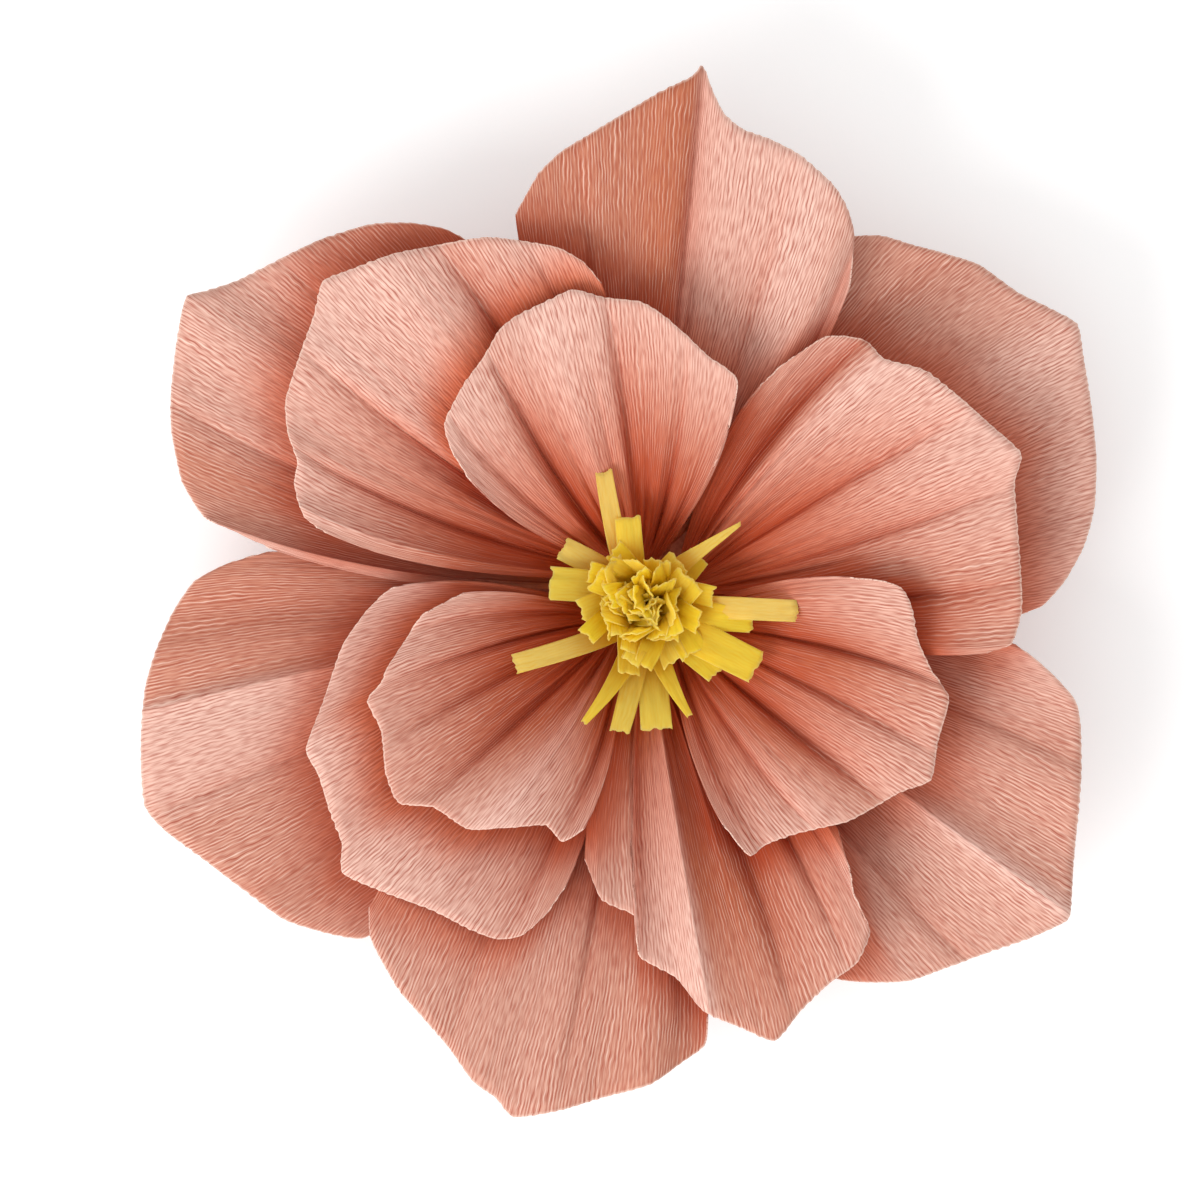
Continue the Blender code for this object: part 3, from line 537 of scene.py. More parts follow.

# ribs are (bearing, reach), folds (bearing, height halfway, height at the rim, width, form),
# rimShade and heart (bearing, dusk) are painted shade: along the whole sheet, and more towards its foot

petals = {
    "petal_outer_top": {
        "layer": outer, "level": 2, "axis": 86.0, "fan": 0.45, "shift": 0.0, "seed": 1,
        "rimShade": [(57.5, 0.3), (63.0, 0.35), (68.0, 0.1), (83.5, 0.1), (85.0, 1.0), (92.0, 0.85),
                  (108.0, 0.8)],
        "ribs": [(57.5, 111.5), (60.5, 124.5), (63.0, 130.5), (66.0, 135.0), (71.0, 139.5),
                 (75.0, 141.5), (78.5, 142.5), (81.0, 146.0), (82.5, 151.5), (84.0, 159.0),
                 (85.0, 155.5), (88.5, 150.5), (92.5, 144.5), (96.5, 139.5), (100.5, 135.5),
                 (104.0, 130.5), (108.5, 121.0)],
        "folds": [(84.0, -6.0, -3.0, -16.0, "crease"), (63.5, 4.0, 2.5, 9.0, "swell"),
                  (72.0, -3.0, -0.5, 9.0, "crease"), (98.0, -2.0, -0.5, 10.0, "crease"),
                  (59.5, -3.0, -3.0, 8.0, "swell")],
    },
    "petal_outer_upper_right": {
        "layer": outer, "level": 0, "axis": 26.0, "fan": 0.5, "shift": 0.0, "seed": 2,
        "rimShade": [(-1.0, 0.25), (15.0, 0.25), (33.0, 0.2), (37.0, 0.45), (50.0, 0.6), (64.0, 0.6)],
        "ribs": [(-1.5, 110.5), (0.0, 117.5), (3.5, 124.5), (7.5, 130.5), (12.5, 136.0),
                 (18.0, 140.0), (23.0, 143.5), (29.0, 148.0), (33.0, 152.0), (36.0, 148.5),
                 (40.0, 143.5), (45.5, 141.0), (49.0, 137.0), (53.5, 132.5), (57.5, 129.5),
                 (61.5, 123.5), (65.0, 112.0)],
        "folds": [(33.0, 1.5, 2.5, 22.0, "swell"), (50.0, -3.5, -1.0, -14.0, "crease"),
                  (12.0, -2.5, -1.0, 16.0, "crease"), (24.0, -2.0, -0.5, -10.0, "crease")],
    },
    "petal_outer_lower_right": {
        "layer": outer, "level": 1, "axis": -34.0, "fan": 0.6, "shift": 0.0, "seed": 3,
        "rimShade": [(-65.0, 0.35), (-48.0, 0.45), (-38.0, 0.35), (-36.0, 0.0), (-34.0, 0.5), (-20.0, 0.5),
                  (-8.0, 0.2)],
        "ribs": [(-66.0, 113.5), (-63.0, 123.5), (-59.5, 129.0), (-55.0, 135.0), (-50.0, 139.0),
                 (-45.5, 143.5), (-41.0, 149.5), (-37.0, 154.5), (-35.5, 153.5), (-31.0, 147.0),
                 (-26.0, 141.5), (-20.5, 137.0), (-15.5, 133.0), (-12.5, 129.5), (-9.5, 121.0),
                 (-6.0, 109.5)],
        "folds": [(-36.0, 5.0, 3.0, -14.0, "crease"), (-48.0, -3.0, -1.5, 9.0, "crease"),
                  (-20.0, -2.5, -1.0, 9.0, "crease"), (-6.5, 2.5, 2.5, 8.0, "swell")],
    },
    "petal_outer_bottom": {
        "layer": outer, "level": 2, "axis": 257.0, "fan": 0.45, "shift": 0.0, "seed": 4,
        "rimShade": [(228.0, 0.45), (245.0, 0.5), (256.0, 0.5), (266.0, 0.65), (278.0, 0.8)],
        "ribs": [(227.5, 120.5), (230.5, 127.0), (237.0, 134.0), (241.5, 137.5), (245.5, 141.5),
                 (250.0, 148.5), (253.0, 151.0), (255.5, 155.0), (260.5, 150.0), (265.0, 145.0),
                 (270.5, 140.5), (274.0, 135.5), (277.5, 130.5), (278.5, 122.0)],
        "folds": [(268.0, 2.0, 1.0, 16.0, "swell"), (246.0, -2.5, -1.0, -14.0, "crease"),
                  (260.0, -2.5, -0.5, 9.0, "crease"), (276.0, -2.5, -2.5, 10.0, "swell")],
    },
    "petal_outer_lower_left": {
        "layer": outer, "level": 0, "axis": 199.0, "fan": 0.55, "shift": 0.0, "seed": 5,
        "rimShade": [(172.0, 0.8), (190.5, 0.7), (192.5, 0.15), (201.0, 0.25), (206.0, 0.6), (217.0, 0.65),
                  (230.0, 0.55)],
        "ribs": [(172.0, 113.0), (174.5, 125.0), (177.0, 133.5), (181.0, 140.0),
                 (185.0, 145.0), (189.5, 150.0), (194.0, 153.5), (198.5, 157.0), (202.0, 159.5),
                 (205.0, 157.0), (210.0, 150.5), (215.5, 145.5), (221.0, 141.5), (226.0, 135.0),
                 (229.5, 129.5), (231.5, 121.0)],
        "folds": [(192.0, 5.0, 3.5, 14.0, "crease"), (182.0, -2.0, -1.0, 12.0, "swell"),
                  (203.0, -2.5, -0.5, -10.0, "crease"), (216.0, -2.5, -1.5, 14.0, "crease")],
    },
    "petal_outer_upper_left": {
        "layer": outer, "level": 1, "axis": 145.0, "fan": 0.5, "shift": 0.0, "seed": 6,
        "rimShade": [(116.0, 0.85), (130.0, 0.65), (137.0, 0.4), (146.0, 0.3), (156.0, 0.35), (162.0, 0.75),
                  (168.0, 0.6), (170.5, 0.15)],
        "ribs": [(115.5, 117.5), (118.0, 125.5), (121.5, 132.0), (126.0, 138.5), (131.5, 144.0),
                 (137.0, 148.5), (141.5, 153.5), (144.5, 159.0), (146.0, 162.5), (148.0, 161.0),
                 (151.5, 157.5), (156.0, 153.0), (160.0, 148.5), (165.0, 141.5), (168.5, 133.0),
                 (170.0, 122.0), (171.5, 111.0)],
        "folds": [(146.0, 1.5, 2.5, 16.0, "swell"), (137.0, -2.5, -0.5, -11.0, "crease"),
                  (157.0, -3.0, -1.0, 14.0, "crease"), (169.0, 5.0, 3.0, 12.0, "crease")],
    },
    "petal_middle_upper_left": {
        "layer": middle, "level": 1, "axis": 132.0, "fan": 0.55, "shift": -3.0, "seed": 7,
        "heart": [(98.0, 0.4), (112.0, 0.5), (119.0, 1.0), (124.0, 0.6), (132.0, 0.2), (142.0, 0.3),
                  (150.0, 0.7), (158.0, 1.0), (166.0, 1.0)],
        "rimShade": [(98.0, 0.0), (110.0, 0.1), (119.0, 0.35), (121.0, 0.05), (142.0, 0.0), (144.0, 0.15),
                  (155.0, 0.2), (158.0, 0.0), (166.0, 0.2)],
        "ribs": [(98.0, 95.5), (100.5, 102.5), (104.0, 108.0), (109.0, 113.0), (113.5, 117.5),
                 (119.5, 121.5), (125.5, 126.5), (131.5, 131.0), (135.0, 134.0), (139.0, 129.0),
                 (143.5, 125.5), (150.5, 121.5), (154.5, 116.0), (157.5, 110.5), (161.0, 109.0),
                 (165.5, 103.5), (167.5, 95.0)],
        "folds": [(128.0, 1.5, 1.0, 9.0, "swell"), (120.0, -8.0, -1.0, -12.0, "crease"),
                  (108.0, -4.0, -0.5, -8.0, "crease"), (143.5, -5.0, -0.5, 9.0, "crease"),
                  (156.0, -7.0, -1.0, 10.0, "crease"), (164.0, 4.0, 2.5, 9.0, "crease")],
    },
    "petal_middle_right": {
        "layer": middle, "level": 1, "axis": 27.0, "fan": 0.5, "shift": 0.0, "seed": 8,
        "heart": [(-8.0, 0.6), (4.0, 0.9), (12.0, 0.7), (22.0, 0.5), (31.0, 0.9), (40.0, 0.65),
                  (46.0, 0.4), (51.0, 1.0), (62.0, 1.0)],
        "rimShade": [(-8.0, 0.5), (4.0, 0.5), (12.0, 0.25), (25.0, 0.0), (46.0, 0.0), (50.0, 0.6),
                  (53.0, 0.25), (62.0, 0.5)],
        "ribs": [(-8.0, 101.0), (-6.0, 107.5), (-1.0, 110.0), (7.0, 110.5), (14.5, 112.0),
                 (18.5, 114.0), (22.0, 118.5), (28.5, 113.5), (35.0, 109.5), (40.0, 107.0),
                 (46.0, 100.5), (50.5, 101.0), (56.0, 95.0), (60.0, 82.5), (62.5, 72.0)],
        "folds": [(50.5, -8.0, -3.5, 8.0, "crease"), (44.0, 3.0, 1.0, 8.0, "swell"),
                  (31.0, -5.5, -0.5, 9.0, "crease"), (18.0, -4.5, -0.5, 8.0, "crease"),
                  (4.0, -5.5, -0.5, -9.0, "crease"), (-6.0, 2.0, 2.5, 6.0, "swell")],
    },
    "petal_middle_lower_left": {
        "layer": middle, "level": 0, "axis": 214.0, "fan": 0.55, "shift": -4.0, "seed": 9,
        "heart": [(175.0, 0.7), (215.0, 0.7), (247.0, 0.9)],
        "rimShade": [(175.0, 0.0), (180.0, 0.1), (200.0, 0.1), (204.0, 0.0), (215.0, 0.1), (222.0, 0.0),
                  (238.0, 0.05), (252.0, 0.4)],
        "ribs": [(174.5, 68.0), (176.5, 75.5), (181.0, 82.0), (187.5, 90.0), (196.5, 99.0),
                 (203.0, 108.5), (207.5, 108.5), (213.0, 111.0), (218.0, 113.5), (221.5, 119.0),
                 (228.0, 114.0), (235.0, 109.5), (241.5, 108.5), (246.0, 107.5), (249.5, 103.5),
                 (252.0, 95.5), (254.0, 86.0)],
        "folds": [(176.0, 3.5, 2.5, 7.0, "swell"), (203.0, 2.0, 2.0, 12.0, "swell"),
                  (215.0, -3.5, -0.5, 8.0, "crease"), (247.0, -5.0, -1.0, -8.0, "crease"),
                  (235.0, -3.5, -0.5, 8.0, "crease")],
    },
    "petal_middle_bottom": {
        "layer": middle, "level": 1, "axis": 282.0, "fan": 0.5, "shift": 0.0, "seed": 10,
        "heart": [(257.0, 0.5), (268.0, 0.8), (274.0, 0.2), (279.0, 0.2), (281.0, 1.0), (290.0, 0.9),
                  (300.0, 0.5), (309.0, 0.8)],
        "rimShade": [(257.0, 0.45), (266.0, 0.3), (270.0, 0.1), (278.5, 0.05), (281.0, 0.55), (292.0, 0.55),
                  (303.0, 0.35), (309.0, 0.2)],
        "ribs": [(256.5, 77.0), (261.5, 87.5), (268.0, 91.5), (269.0, 103.0), (274.5, 109.5),
                 (278.0, 120.0), (282.5, 126.5), (286.5, 133.0), (291.0, 127.0), (296.0, 123.0),
                 (300.5, 121.5), (304.5, 116.0), (305.5, 105.0), (307.5, 98.0), (310.5, 87.0)],
        "folds": [(279.0, 6.0, 1.5, -12.0, "crease"), (270.0, -5.0, -1.0, 8.0, "crease"),
                  (260.0, 3.0, 1.5, 8.0, "swell"), (290.0, -5.5, -0.5, 11.0, "crease"),
                  (299.0, -4.5, -0.5, 8.0, "crease"), (308.0, 3.5, 2.0, 9.0, "swell")],
    },
    "petal_inner_top": {
        "layer": inner, "level": 0, "axis": 103.0, "fan": 0.5, "shift": 0.0, "seed": 11,
        "heart": [(66.0, 0.5), (76.0, 1.0), (93.0, 1.0), (100.0, 0.5), (109.0, 0.3), (117.0, 0.8),
                  (124.0, 0.9), (134.0, 0.4), (143.0, 0.7)],
        "rimShade": [(66.0, 0.25), (80.0, 0.05), (96.0, 0.15), (100.0, 0.0), (111.0, 0.0), (121.0, 0.2),
                  (128.0, 0.0), (143.0, 0.05)],
        "ribs": [(65.5, 61.0), (68.0, 71.0), (71.5, 73.5), (75.5, 75.0), (81.5, 80.0),
                 (86.5, 85.0), (91.0, 89.0), (97.5, 91.0), (103.0, 95.0), (107.5, 94.0),
                 (114.0, 93.0), (118.0, 91.5), (123.0, 87.0), (129.5, 84.0), (138.0, 79.5),
                 (141.5, 72.5), (144.5, 63.0)],
        "folds": [(122.0, -7.0, -0.5, -8.0, "crease"), (109.0, 2.0, 0.3, 7.0, "swell"),
                  (97.5, -6.0, -0.5, -8.0, "crease"), (136.0, -3.5, -0.5, -6.0, "crease"),
                  (81.5, -2.5, -0.3, 8.0, "crease"), (67.0, 3.0, 2.0, 6.0, "swell")],
    },
    "petal_inner_right": {
        "layer": inner, "level": 0, "axis": -31.0, "fan": 0.55, "shift": 0.0, "seed": 12,
        "heart": [(-70.0, 0.7), (-64.0, 0.6), (-52.0, 0.6), (-42.0, 1.0), (-33.0, 0.6), (-24.0, 0.9),
                  (-14.0, 1.0), (-4.0, 0.5), (6.0, 0.7)],
        "rimShade": [(-70.0, 0.35), (-60.0, 0.15), (-50.0, 0.2), (-41.0, 0.5), (-38.0, 0.25), (-28.0, 0.3),
                  (-16.0, 0.5), (-8.0, 0.35), (6.0, 0.2)],
        "ribs": [(-70.5, 68.0), (-67.5, 79.5), (-63.5, 78.5), (-56.0, 80.5), (-46.5, 87.0),
                 (-36.5, 92.5), (-31.5, 98.0), (-25.0, 94.5), (-17.0, 93.0), (-13.0, 86.0),
                 (-7.5, 80.5), (-0.5, 78.0), (3.5, 75.5), (5.5, 70.5), (7.5, 60.5)],
        "folds": [(-15.0, -6.5, -1.0, 9.0, "crease"), (-27.0, -4.5, -0.3, 7.0, "crease"),
                  (-40.0, -8.0, -0.5, 8.0, "crease"), (-53.0, -4.5, -0.3, -7.0, "crease"),
                  (-65.0, -5.0, -2.0, 6.0, "crease"), (1.0, 2.5, 1.5, 8.0, "swell")],
    },
    "petal_inner_left": {
        "layer": inner, "level": 0, "axis": 215.0, "fan": 0.55, "shift": 0.0, "seed": 13,
        "heart": [(182.0, 1.0), (200.0, 1.0), (214.0, 0.9), (225.0, 1.0), (233.0, 0.5), (240.0, 0.5),
                  (248.0, 1.0)],
        "rimShade": [(186.0, 0.1), (200.0, 0.25), (215.0, 0.4), (226.0, 0.35), (234.0, 0.0), (239.0, 0.0),
                  (244.0, 0.3), (249.0, 0.25)],
        "ribs": [(176.5, 54.0), (182.5, 65.5), (187.5, 70.5), (193.5, 78.0), (196.5, 81.0),
                 (199.0, 86.5), (205.5, 86.0), (213.0, 91.0), (218.5, 93.0), (223.5, 86.0),
                 (231.5, 84.0), (238.0, 77.0), (245.5, 71.0), (250.5, 73.5), (254.5, 68.0)],
        "folds": [(236.0, 4.0, 1.0, -9.0, "crease"), (222.0, -7.0, -0.5, -8.0, "crease"),
                  (249.0, -5.5, -1.0, 7.0, "crease"), (186.0, -3.5, -1.5, 8.0, "crease"),
                  (208.0, -5.0, -0.3, -8.0, "crease"), (197.0, -4.5, -0.3, 7.0, "crease")],
    },
}


def footHeight(layer):
    return cardTop + sheetGap + layer["stack"] * (paper + sheetGap)


def layerSlope(layer, outward):
    share = np.minimum(outward / (layer["reach"] - layer["toe"]), 1.0)
    return layer["rise"] + (layer["rimRise"] - layer["rise"]) * share


def layerRise(layer, outward):
    span = layer["reach"] - layer["toe"]
    near = np.minimum(outward, span)
    lost = (layer["rise"] - layer["rimRise"]) * near * near / (2.0 * span)
    return layer["rise"] * near - lost + layer["rimRise"] * (outward - near)


def smoothThrough(points, places):
    # a smooth curve through points, read at places counted in points
    points = np.asarray(points, float)
    first = 2.0 * points[0] - points[1]
    last = 2.0 * points[-1] - points[-2]
    padded = np.vstack([first, points, last])
    cell = np.clip(np.floor(places).astype(int), 0, len(points) - 2)
    t = (places - cell)[:, None]
    a, b, c, d = (padded[cell + step] for step in range(4))
    return 0.5 * (2.0 * b + (c - a) * t + (2.0 * a - 5.0 * b + 4.0 * c - d) * t ** 2
                  + (3.0 * b - a - 3.0 * c + d) * t ** 3)


def rimEnds(petal):
    ends = []
    for bearing, reach in petal["ribs"]:
        turn = math.radians(bearing - petal["axis"])
        ends.append((reach * math.cos(turn), reach * math.sin(turn)))
    return ends


def rimLengths(ends):
    # the ribs' distances along the rim from the first one
    steps = np.hypot(*np.diff(np.asarray(ends), axis=0).T)
    return np.concatenate([[0.0], np.cumsum(steps)])


def waves(places, seed, pitch, count=5):
    # a few sines of about the same pitch, seeded, between -1 and 1
    rng = np.random.default_rng(seed)
    total = np.zeros_like(places, dtype=float)
    for _ in range(count):
        length = pitch * rng.uniform(0.7, 1.5)
        total += np.sin(2.0 * math.pi * (places / length + rng.uniform()))
    return total / count


def foldRelief(petal, run, rimRun, v):
    # folds sit by their distance along the rim: a swell is round, and a crease is
    # sharp, with its gentle flank on the side that its width's sign names
    bearings = [rib[0] for rib in petal["ribs"]]
    total = np.zeros((len(v), len(rimRun)))
    for bearing, halfway, atRim, width, form in petal["folds"]:
        side = (rimRun - np.interp(bearing, bearings, run)) / width
        away = np.where(side > 0.0, side, -side / petalForm["steepSide"])
        shape = np.exp(-away) if form == "crease" else np.exp(-side * side)
        height = halfway * 4.0 * v * (1.0 - v) + atRim * v * (2.0 * v - 1.0)
        total += height[:, None] * shape[None, :]
    return total


def coverGlow(petal, bearing, radius):
    # painted warm shade: 1 under a higher layer's petal, and fading away from its rim
    glow = np.zeros_like(radius)
    for other in petals.values():
        if other["layer"]["stack"] <= petal["layer"]["stack"]:
            continue
        ribs = np.array(other["ribs"])
        aside = (bearing - other["axis"] + 180.0) % 360.0 - 180.0
        places = ribs[:, 0] - other["axis"]
        past = np.maximum(radius - np.interp(aside, places, ribs[:, 1]), 0.0)
        beside = np.maximum(np.maximum(aside - places[-1], places[0] - aside), 0.0)
        gap = np.hypot(past, np.radians(beside) * radius)
        glow = np.maximum(glow, np.exp(-(gap / petalShadeAndHighlight["glowReach"]) ** 2))
    return glow


def shadeAlongRim(petal, table, run, rimRun):
    # painted shade given at bearings, read along the rim
    marks = petal.get(table, [(petal["axis"], 0.0)])
    bearings = [rib[0] for rib in petal["ribs"]]
    places = [np.interp(bearing, bearings, run) for bearing, tone in marks]
    return np.interp(rimRun, places, [tone for bearing, tone in marks])[None, :]


def petalRim(petal):
    # the ribs' run along the rim, the run and place of each column, and the cut rim
    ends = rimEnds(petal)
    run = rimLengths(ends)
    rimRun = np.linspace(0.0, run[-1], petal["layer"]["columns"])
    places = np.interp(rimRun, run, np.arange(len(ends)))
    straight = np.stack([np.interp(places, np.arange(len(ends)), [end[side] for end in ends])
                         for side in (0, 1)], axis=-1)
    rounded, cut = petalForm["rimBlend"]
    rim = rounded * smoothThrough(ends, places) + cut * straight
    ragged = waves(rimRun, petal["seed"] + seedShift["rim"], petalForm["raggedPitch"])
    rim[:, 0] += petalForm["rimRagged"] * ragged
    return run, rimRun, places, rim


def petalPleats(petal, v, q, places):
    # how high the pleats stand along the sheet, and their wave across it
    form = petalForm
    faded = np.maximum(0.0, 1.0 - (v - form["pleatCrest"]) / (form["pleatEnd"] - form["pleatCrest"]))
    faded = np.minimum(faded ** form["pleatFade"], 1.0)
    pleats = np.where(v < form["pleatCrest"], v / form["pleatCrest"], faded)
    wave = 2.0 * np.abs(np.sin(math.pi * places / 2.0)) ** form["pleatPower"] - 1.0
    even, uneven, pitch = form["pleatSpread"]
    wave *= even + uneven * waves(places, petal["seed"] + seedShift["pleats"], pitch, 2)
    fine = waves(places, petal["seed"] + seedShift["gathers"], form["finePitch"])
    return pleats, (wave + form["fineGather"] * fine) * (1.0 - q ** 4)


def petalShares(petal, v, opened, rims, along, across, pleats, gathers, folds):
    # the shares that the paper's material reads, each from 0 to 1
    layer, form = petal["layer"], petalShadeAndHighlight
    # painted shade: deep at the foot, in the pleats' and folds' valleys and beside a higher petal's rim, lighter
    # on the folds' ridges
    valley = np.clip(-gathers, 0.0, 1.0)
    deepToneAndShade = form["foot"] * np.exp(-(v / layer["footShadeReach"]) ** 2)[:, None]
    deepToneAndShade = deepToneAndShade + form["valley"] * pleats[:, None] * valley[None, :]
    (inFold, deepest), (onRidge, highest) = form["fold"], form["ridge"]
    deepToneAndShade += inFold * np.clip(-folds, 0.0, deepest) - onRidge * np.clip(folds, 0.0, highest)
    bearing = np.degrees(np.arctan2(across, along)) + petal["axis"]
    glow = layer["glow"] * coverGlow(petal, bearing, np.hypot(along, across))
    # painted shade along the rim and towards the foot, plus the layer's tone, a painted shade over the whole
    # sheet
    heart = form["heart"] * shadeAlongRim(petal, "heart", *rims)
    heart = heart * np.exp(-(v / form["heartReach"]) ** 2)[:, None]
    dusk = shadeAlongRim(petal, "rimShade", *rims) + heart + layer["tone"]
    # painted highlight in a band along the rim
    edge = np.clip(1.0 - (1.0 - v) * layer["reach"] / form["rimBand"], 0.0, 1.0)
    shares = {"deepToneAndShadeAt": np.maximum(np.clip(deepToneAndShade, 0.0, 1.0), glow), "openAt": opened[:, None],
              "shadeAt": np.clip(dusk, 0.0, 1.0), "edgeHighlightAt": edge[:, None]}
    return {label: withHeel(np.broadcast_to(share, along.shape)) for label, share in shares.items()}


def withHeel(rows):
    # the heel's row takes the toe's values
    return np.concatenate([rows[:1], rows])


def petalSheet(petal):
    layer, form = petal["layer"], petalForm
    run, rimRun, places, rim = petalRim(petal)
    q = 2.0 * places / (len(petal["ribs"]) - 1) - 1.0  # -1 to 1 across the sheet
    v = np.linspace(0.0, 1.0, form["rows"]) ** form["rowCrowding"]  # 0 to 1 along it
    root = petal["shift"] + layer["halfFoot"] * q
    opened = v * (2.0 - petal["fan"] - (1.0 - petal["fan"]) * v)
    along = layer["toe"] + (rim[None, :, 0] - layer["toe"]) * v[:, None]
    across = root[None, :] + (rim[None, :, 1] - root[None, :]) * opened[:, None]
    outward = np.maximum(0.0, np.hypot(along, across) - np.hypot(layer["toe"], root)[None, :])

    height = footHeight(layer) + layerRise(layer, outward)
    step = (paper + sheetGap) * np.minimum(outward / form["levelRun"], 1.0)
    height += petal["level"] * (step + form["levelRise"] * outward)
    height += layer["cup"] * (q * q)[None, :] * v[:, None]
    pleats, gathers = petalPleats(petal, v, q, places)
    height += layer["pleat"] * pleats[:, None] * gathers[None, :]
    drift = waves(rimRun, petal["seed"] + seedShift["undulation"], form["undulationPitch"], 3)
    height += form["undulation"] * (v * v)[:, None] * (drift * (1.0 - q ** 4))[None, :]
    folds = foldRelief(petal, run, rimRun, v)
    height += folds
    height += paper * np.hypot(1.0, layerSlope(layer, outward))

    shares = petalShares(petal, v, opened, (run, rimRun), along, across, pleats, gathers, folds)
    grain = withHeel(np.stack([np.broadcast_to(rimRun[None, :] * mm, along.shape), along * mm,
                               np.full_like(along, petal["seed"] * sheetNumberStep)], axis=-1))
    points = np.stack([along, across, height], axis=-1)
    points[0, :, 2] = footHeight(layer) + paper
    heelAcross = petal["shift"] + (root - petal["shift"]) * form["heel"] / layer["toe"]
    heel = np.stack([np.full_like(root, form["heel"]), heelAcross, points[0, :, 2]], axis=-1)
    points = np.concatenate([heel[None], points])
    turn = math.radians(petal["axis"])
    x = points[..., 0] * math.cos(turn) - points[..., 1] * math.sin(turn)
    y = points[..., 0] * math.sin(turn) + points[..., 1] * math.cos(turn)
    return np.stack([x, y, points[..., 2]], axis=-1) * mm, grain, shares


def makePetal(name, petal, tree, material):
    points, grain, shares = petalSheet(petal)
    rows, columns = points.shape[:2]
    index = np.arange(rows * columns).reshape(rows, columns)
    quads = np.stack([index[:-1, :-1], index[1:, :-1], index[1:, 1:], index[:-1, 1:]], axis=-1)
    label, form = name + "_crepe", petalForm
    thing = addObject(label, meshWithShares(label, points.reshape(-1, 3), [], quads.reshape(-1, 4).tolist(),
                                            "grainAt", grain, shares))
    addTree(thing, tree, {"Ridge Height": form["ridgeHeight"] * mm, "Ridge Pitch": form["ridgePitch"] * mm,
                          "Streak Length": form["streakLength"] * mm, "Paper": material})
    bakeCrepe(thing, form["thickness"], -1.0)
    finishPiece(thing, name)


# stamens: crepe strips standing in a tight roll, rings of plain ones and a few that the
# picture shows by themselves, placed in its pixels

centrePixel = (645.0, 605.0)
pixel = 0.2955  # millimetres, at the stamens' height
picturedStrips = [
    # root and end, widths there, the end's height above the petals, how pale it is
    {"from": (618, 560), "to": (603, 471), "widths": (22, 17), "lift": 3.0, "pale": 0.75},
    {"from": (632, 572), "to": (627, 517), "widths": (26, 26), "lift": 13.0, "pale": 0.25},
    {"from": (668, 572), "to": (741, 523), "widths": (24, 4), "lift": 5.0, "pale": 0.6},
    {"from": (690, 606), "to": (797, 611), "widths": (23, 22), "lift": 3.0, "pale": 0.75},
    {"from": (610, 637), "to": (514, 664), "widths": (22, 20), "lift": 3.0, "pale": 0.7},
    {"from": (612, 588), "to": (550, 583), "widths": (32, 34), "lift": 8.0, "pale": 0.3},
    {"from": (606, 570), "to": (562, 548), "widths": (26, 24), "lift": 5.0, "pale": 0.7},
    {"from": (628, 668), "to": (583, 723), "widths": (26, 6), "lift": 6.0, "pale": 0.2},
    {"from": (636, 670), "to": (619, 732), "widths": (24, 20), "lift": 4.0, "pale": 0.45},
    {"from": (652, 676), "to": (656, 729), "widths": (28, 32), "lift": 4.0, "pale": 0.35},
    {"from": (660, 668), "to": (689, 716), "widths": (24, 6), "lift": 8.0, "pale": 0.2},
    {"from": (678, 628), "to": (757, 668), "widths": (36, 34), "lift": 7.0, "pale": 0.15},
    {"from": (672, 634), "to": (716, 674), "widths": (30, 22), "lift": 10.0, "pale": 0.1},
    {"from": (682, 612), "to": (752, 622), "widths": (36, 22), "lift": 9.0, "pale": 0.1},
    {"from": (672, 588), "to": (699, 556), "widths": (28, 24), "lift": 11.0, "pale": 0.1},
]
stripRings = [
    {"count": 11, "root": 9.0, "reach": (15.0, 22.0), "top": (28.0, 33.0), "width": (6.0, 8.0),
     "twist": 0.35, "sway": 0.5},
    {"count": 13, "root": 7.5, "reach": (11.0, 18.0), "top": (31.0, 38.0), "width": (6.0, 9.0),
     "twist": 0.9, "sway": 0.6},
    {"count": 13, "root": 5.5, "reach": (6.0, 14.0), "top": (33.0, 40.0), "width": (5.5, 8.0),
     "twist": 1.6, "sway": 1.3},
    {"count": 12, "root": 3.5, "reach": (2.0, 10.0), "top": (32.0, 40.0), "width": (5.0, 8.0),
     "twist": 2.2, "sway": 2.0},
    {"count": 9, "root": 1.6, "reach": (2.0, 7.0), "top": (30.0, 37.0), "width": (5.0, 8.0),
     "twist": 3.0, "sway": 3.0},
]
stripPaper = {"stepsAlong": 24, "stepsAcross": 15, "rollCrinkle": 2.8, "fringeCrinkle": 1.9,
              "crinklePitch": 2.4, "streakLength": 12.0, "ragged": 3.0, "raggedPitch": 1.5, "thickness": 0.4}
stripBend = {
    "points": 9, "aside": 0.3, "kneeOut": 1.1, "kneeUp": 0.9, "picturedKnee": 1.05, "picturedDrop": 1.0,
    "widen": (0.9, 1.25), "widenPower": 1.5, "pale": (0.0, 0.35),
}
roll = {"coreRadius": 10.0, "wrapInner": 10.3, "wrapOuter": 11.0, "coreTop": 10.3, "wrapTop": 9.3,
        "sides": 48, "rootRadius": 9.0}
stripFoot = footHeight(inner) + paper + sheetGap


def petalTop(radius):
    return footHeight(inner) + float(layerRise(inner, max(radius - inner["toe"], 0.0)))


def bend(root, knee, tip):
    t = np.linspace(0.0, 1.0, stripBend["points"])[:, None]
    return (1.0 - t) ** 2 * root + 2.0 * t * (1.0 - t) * knee + t * t * tip


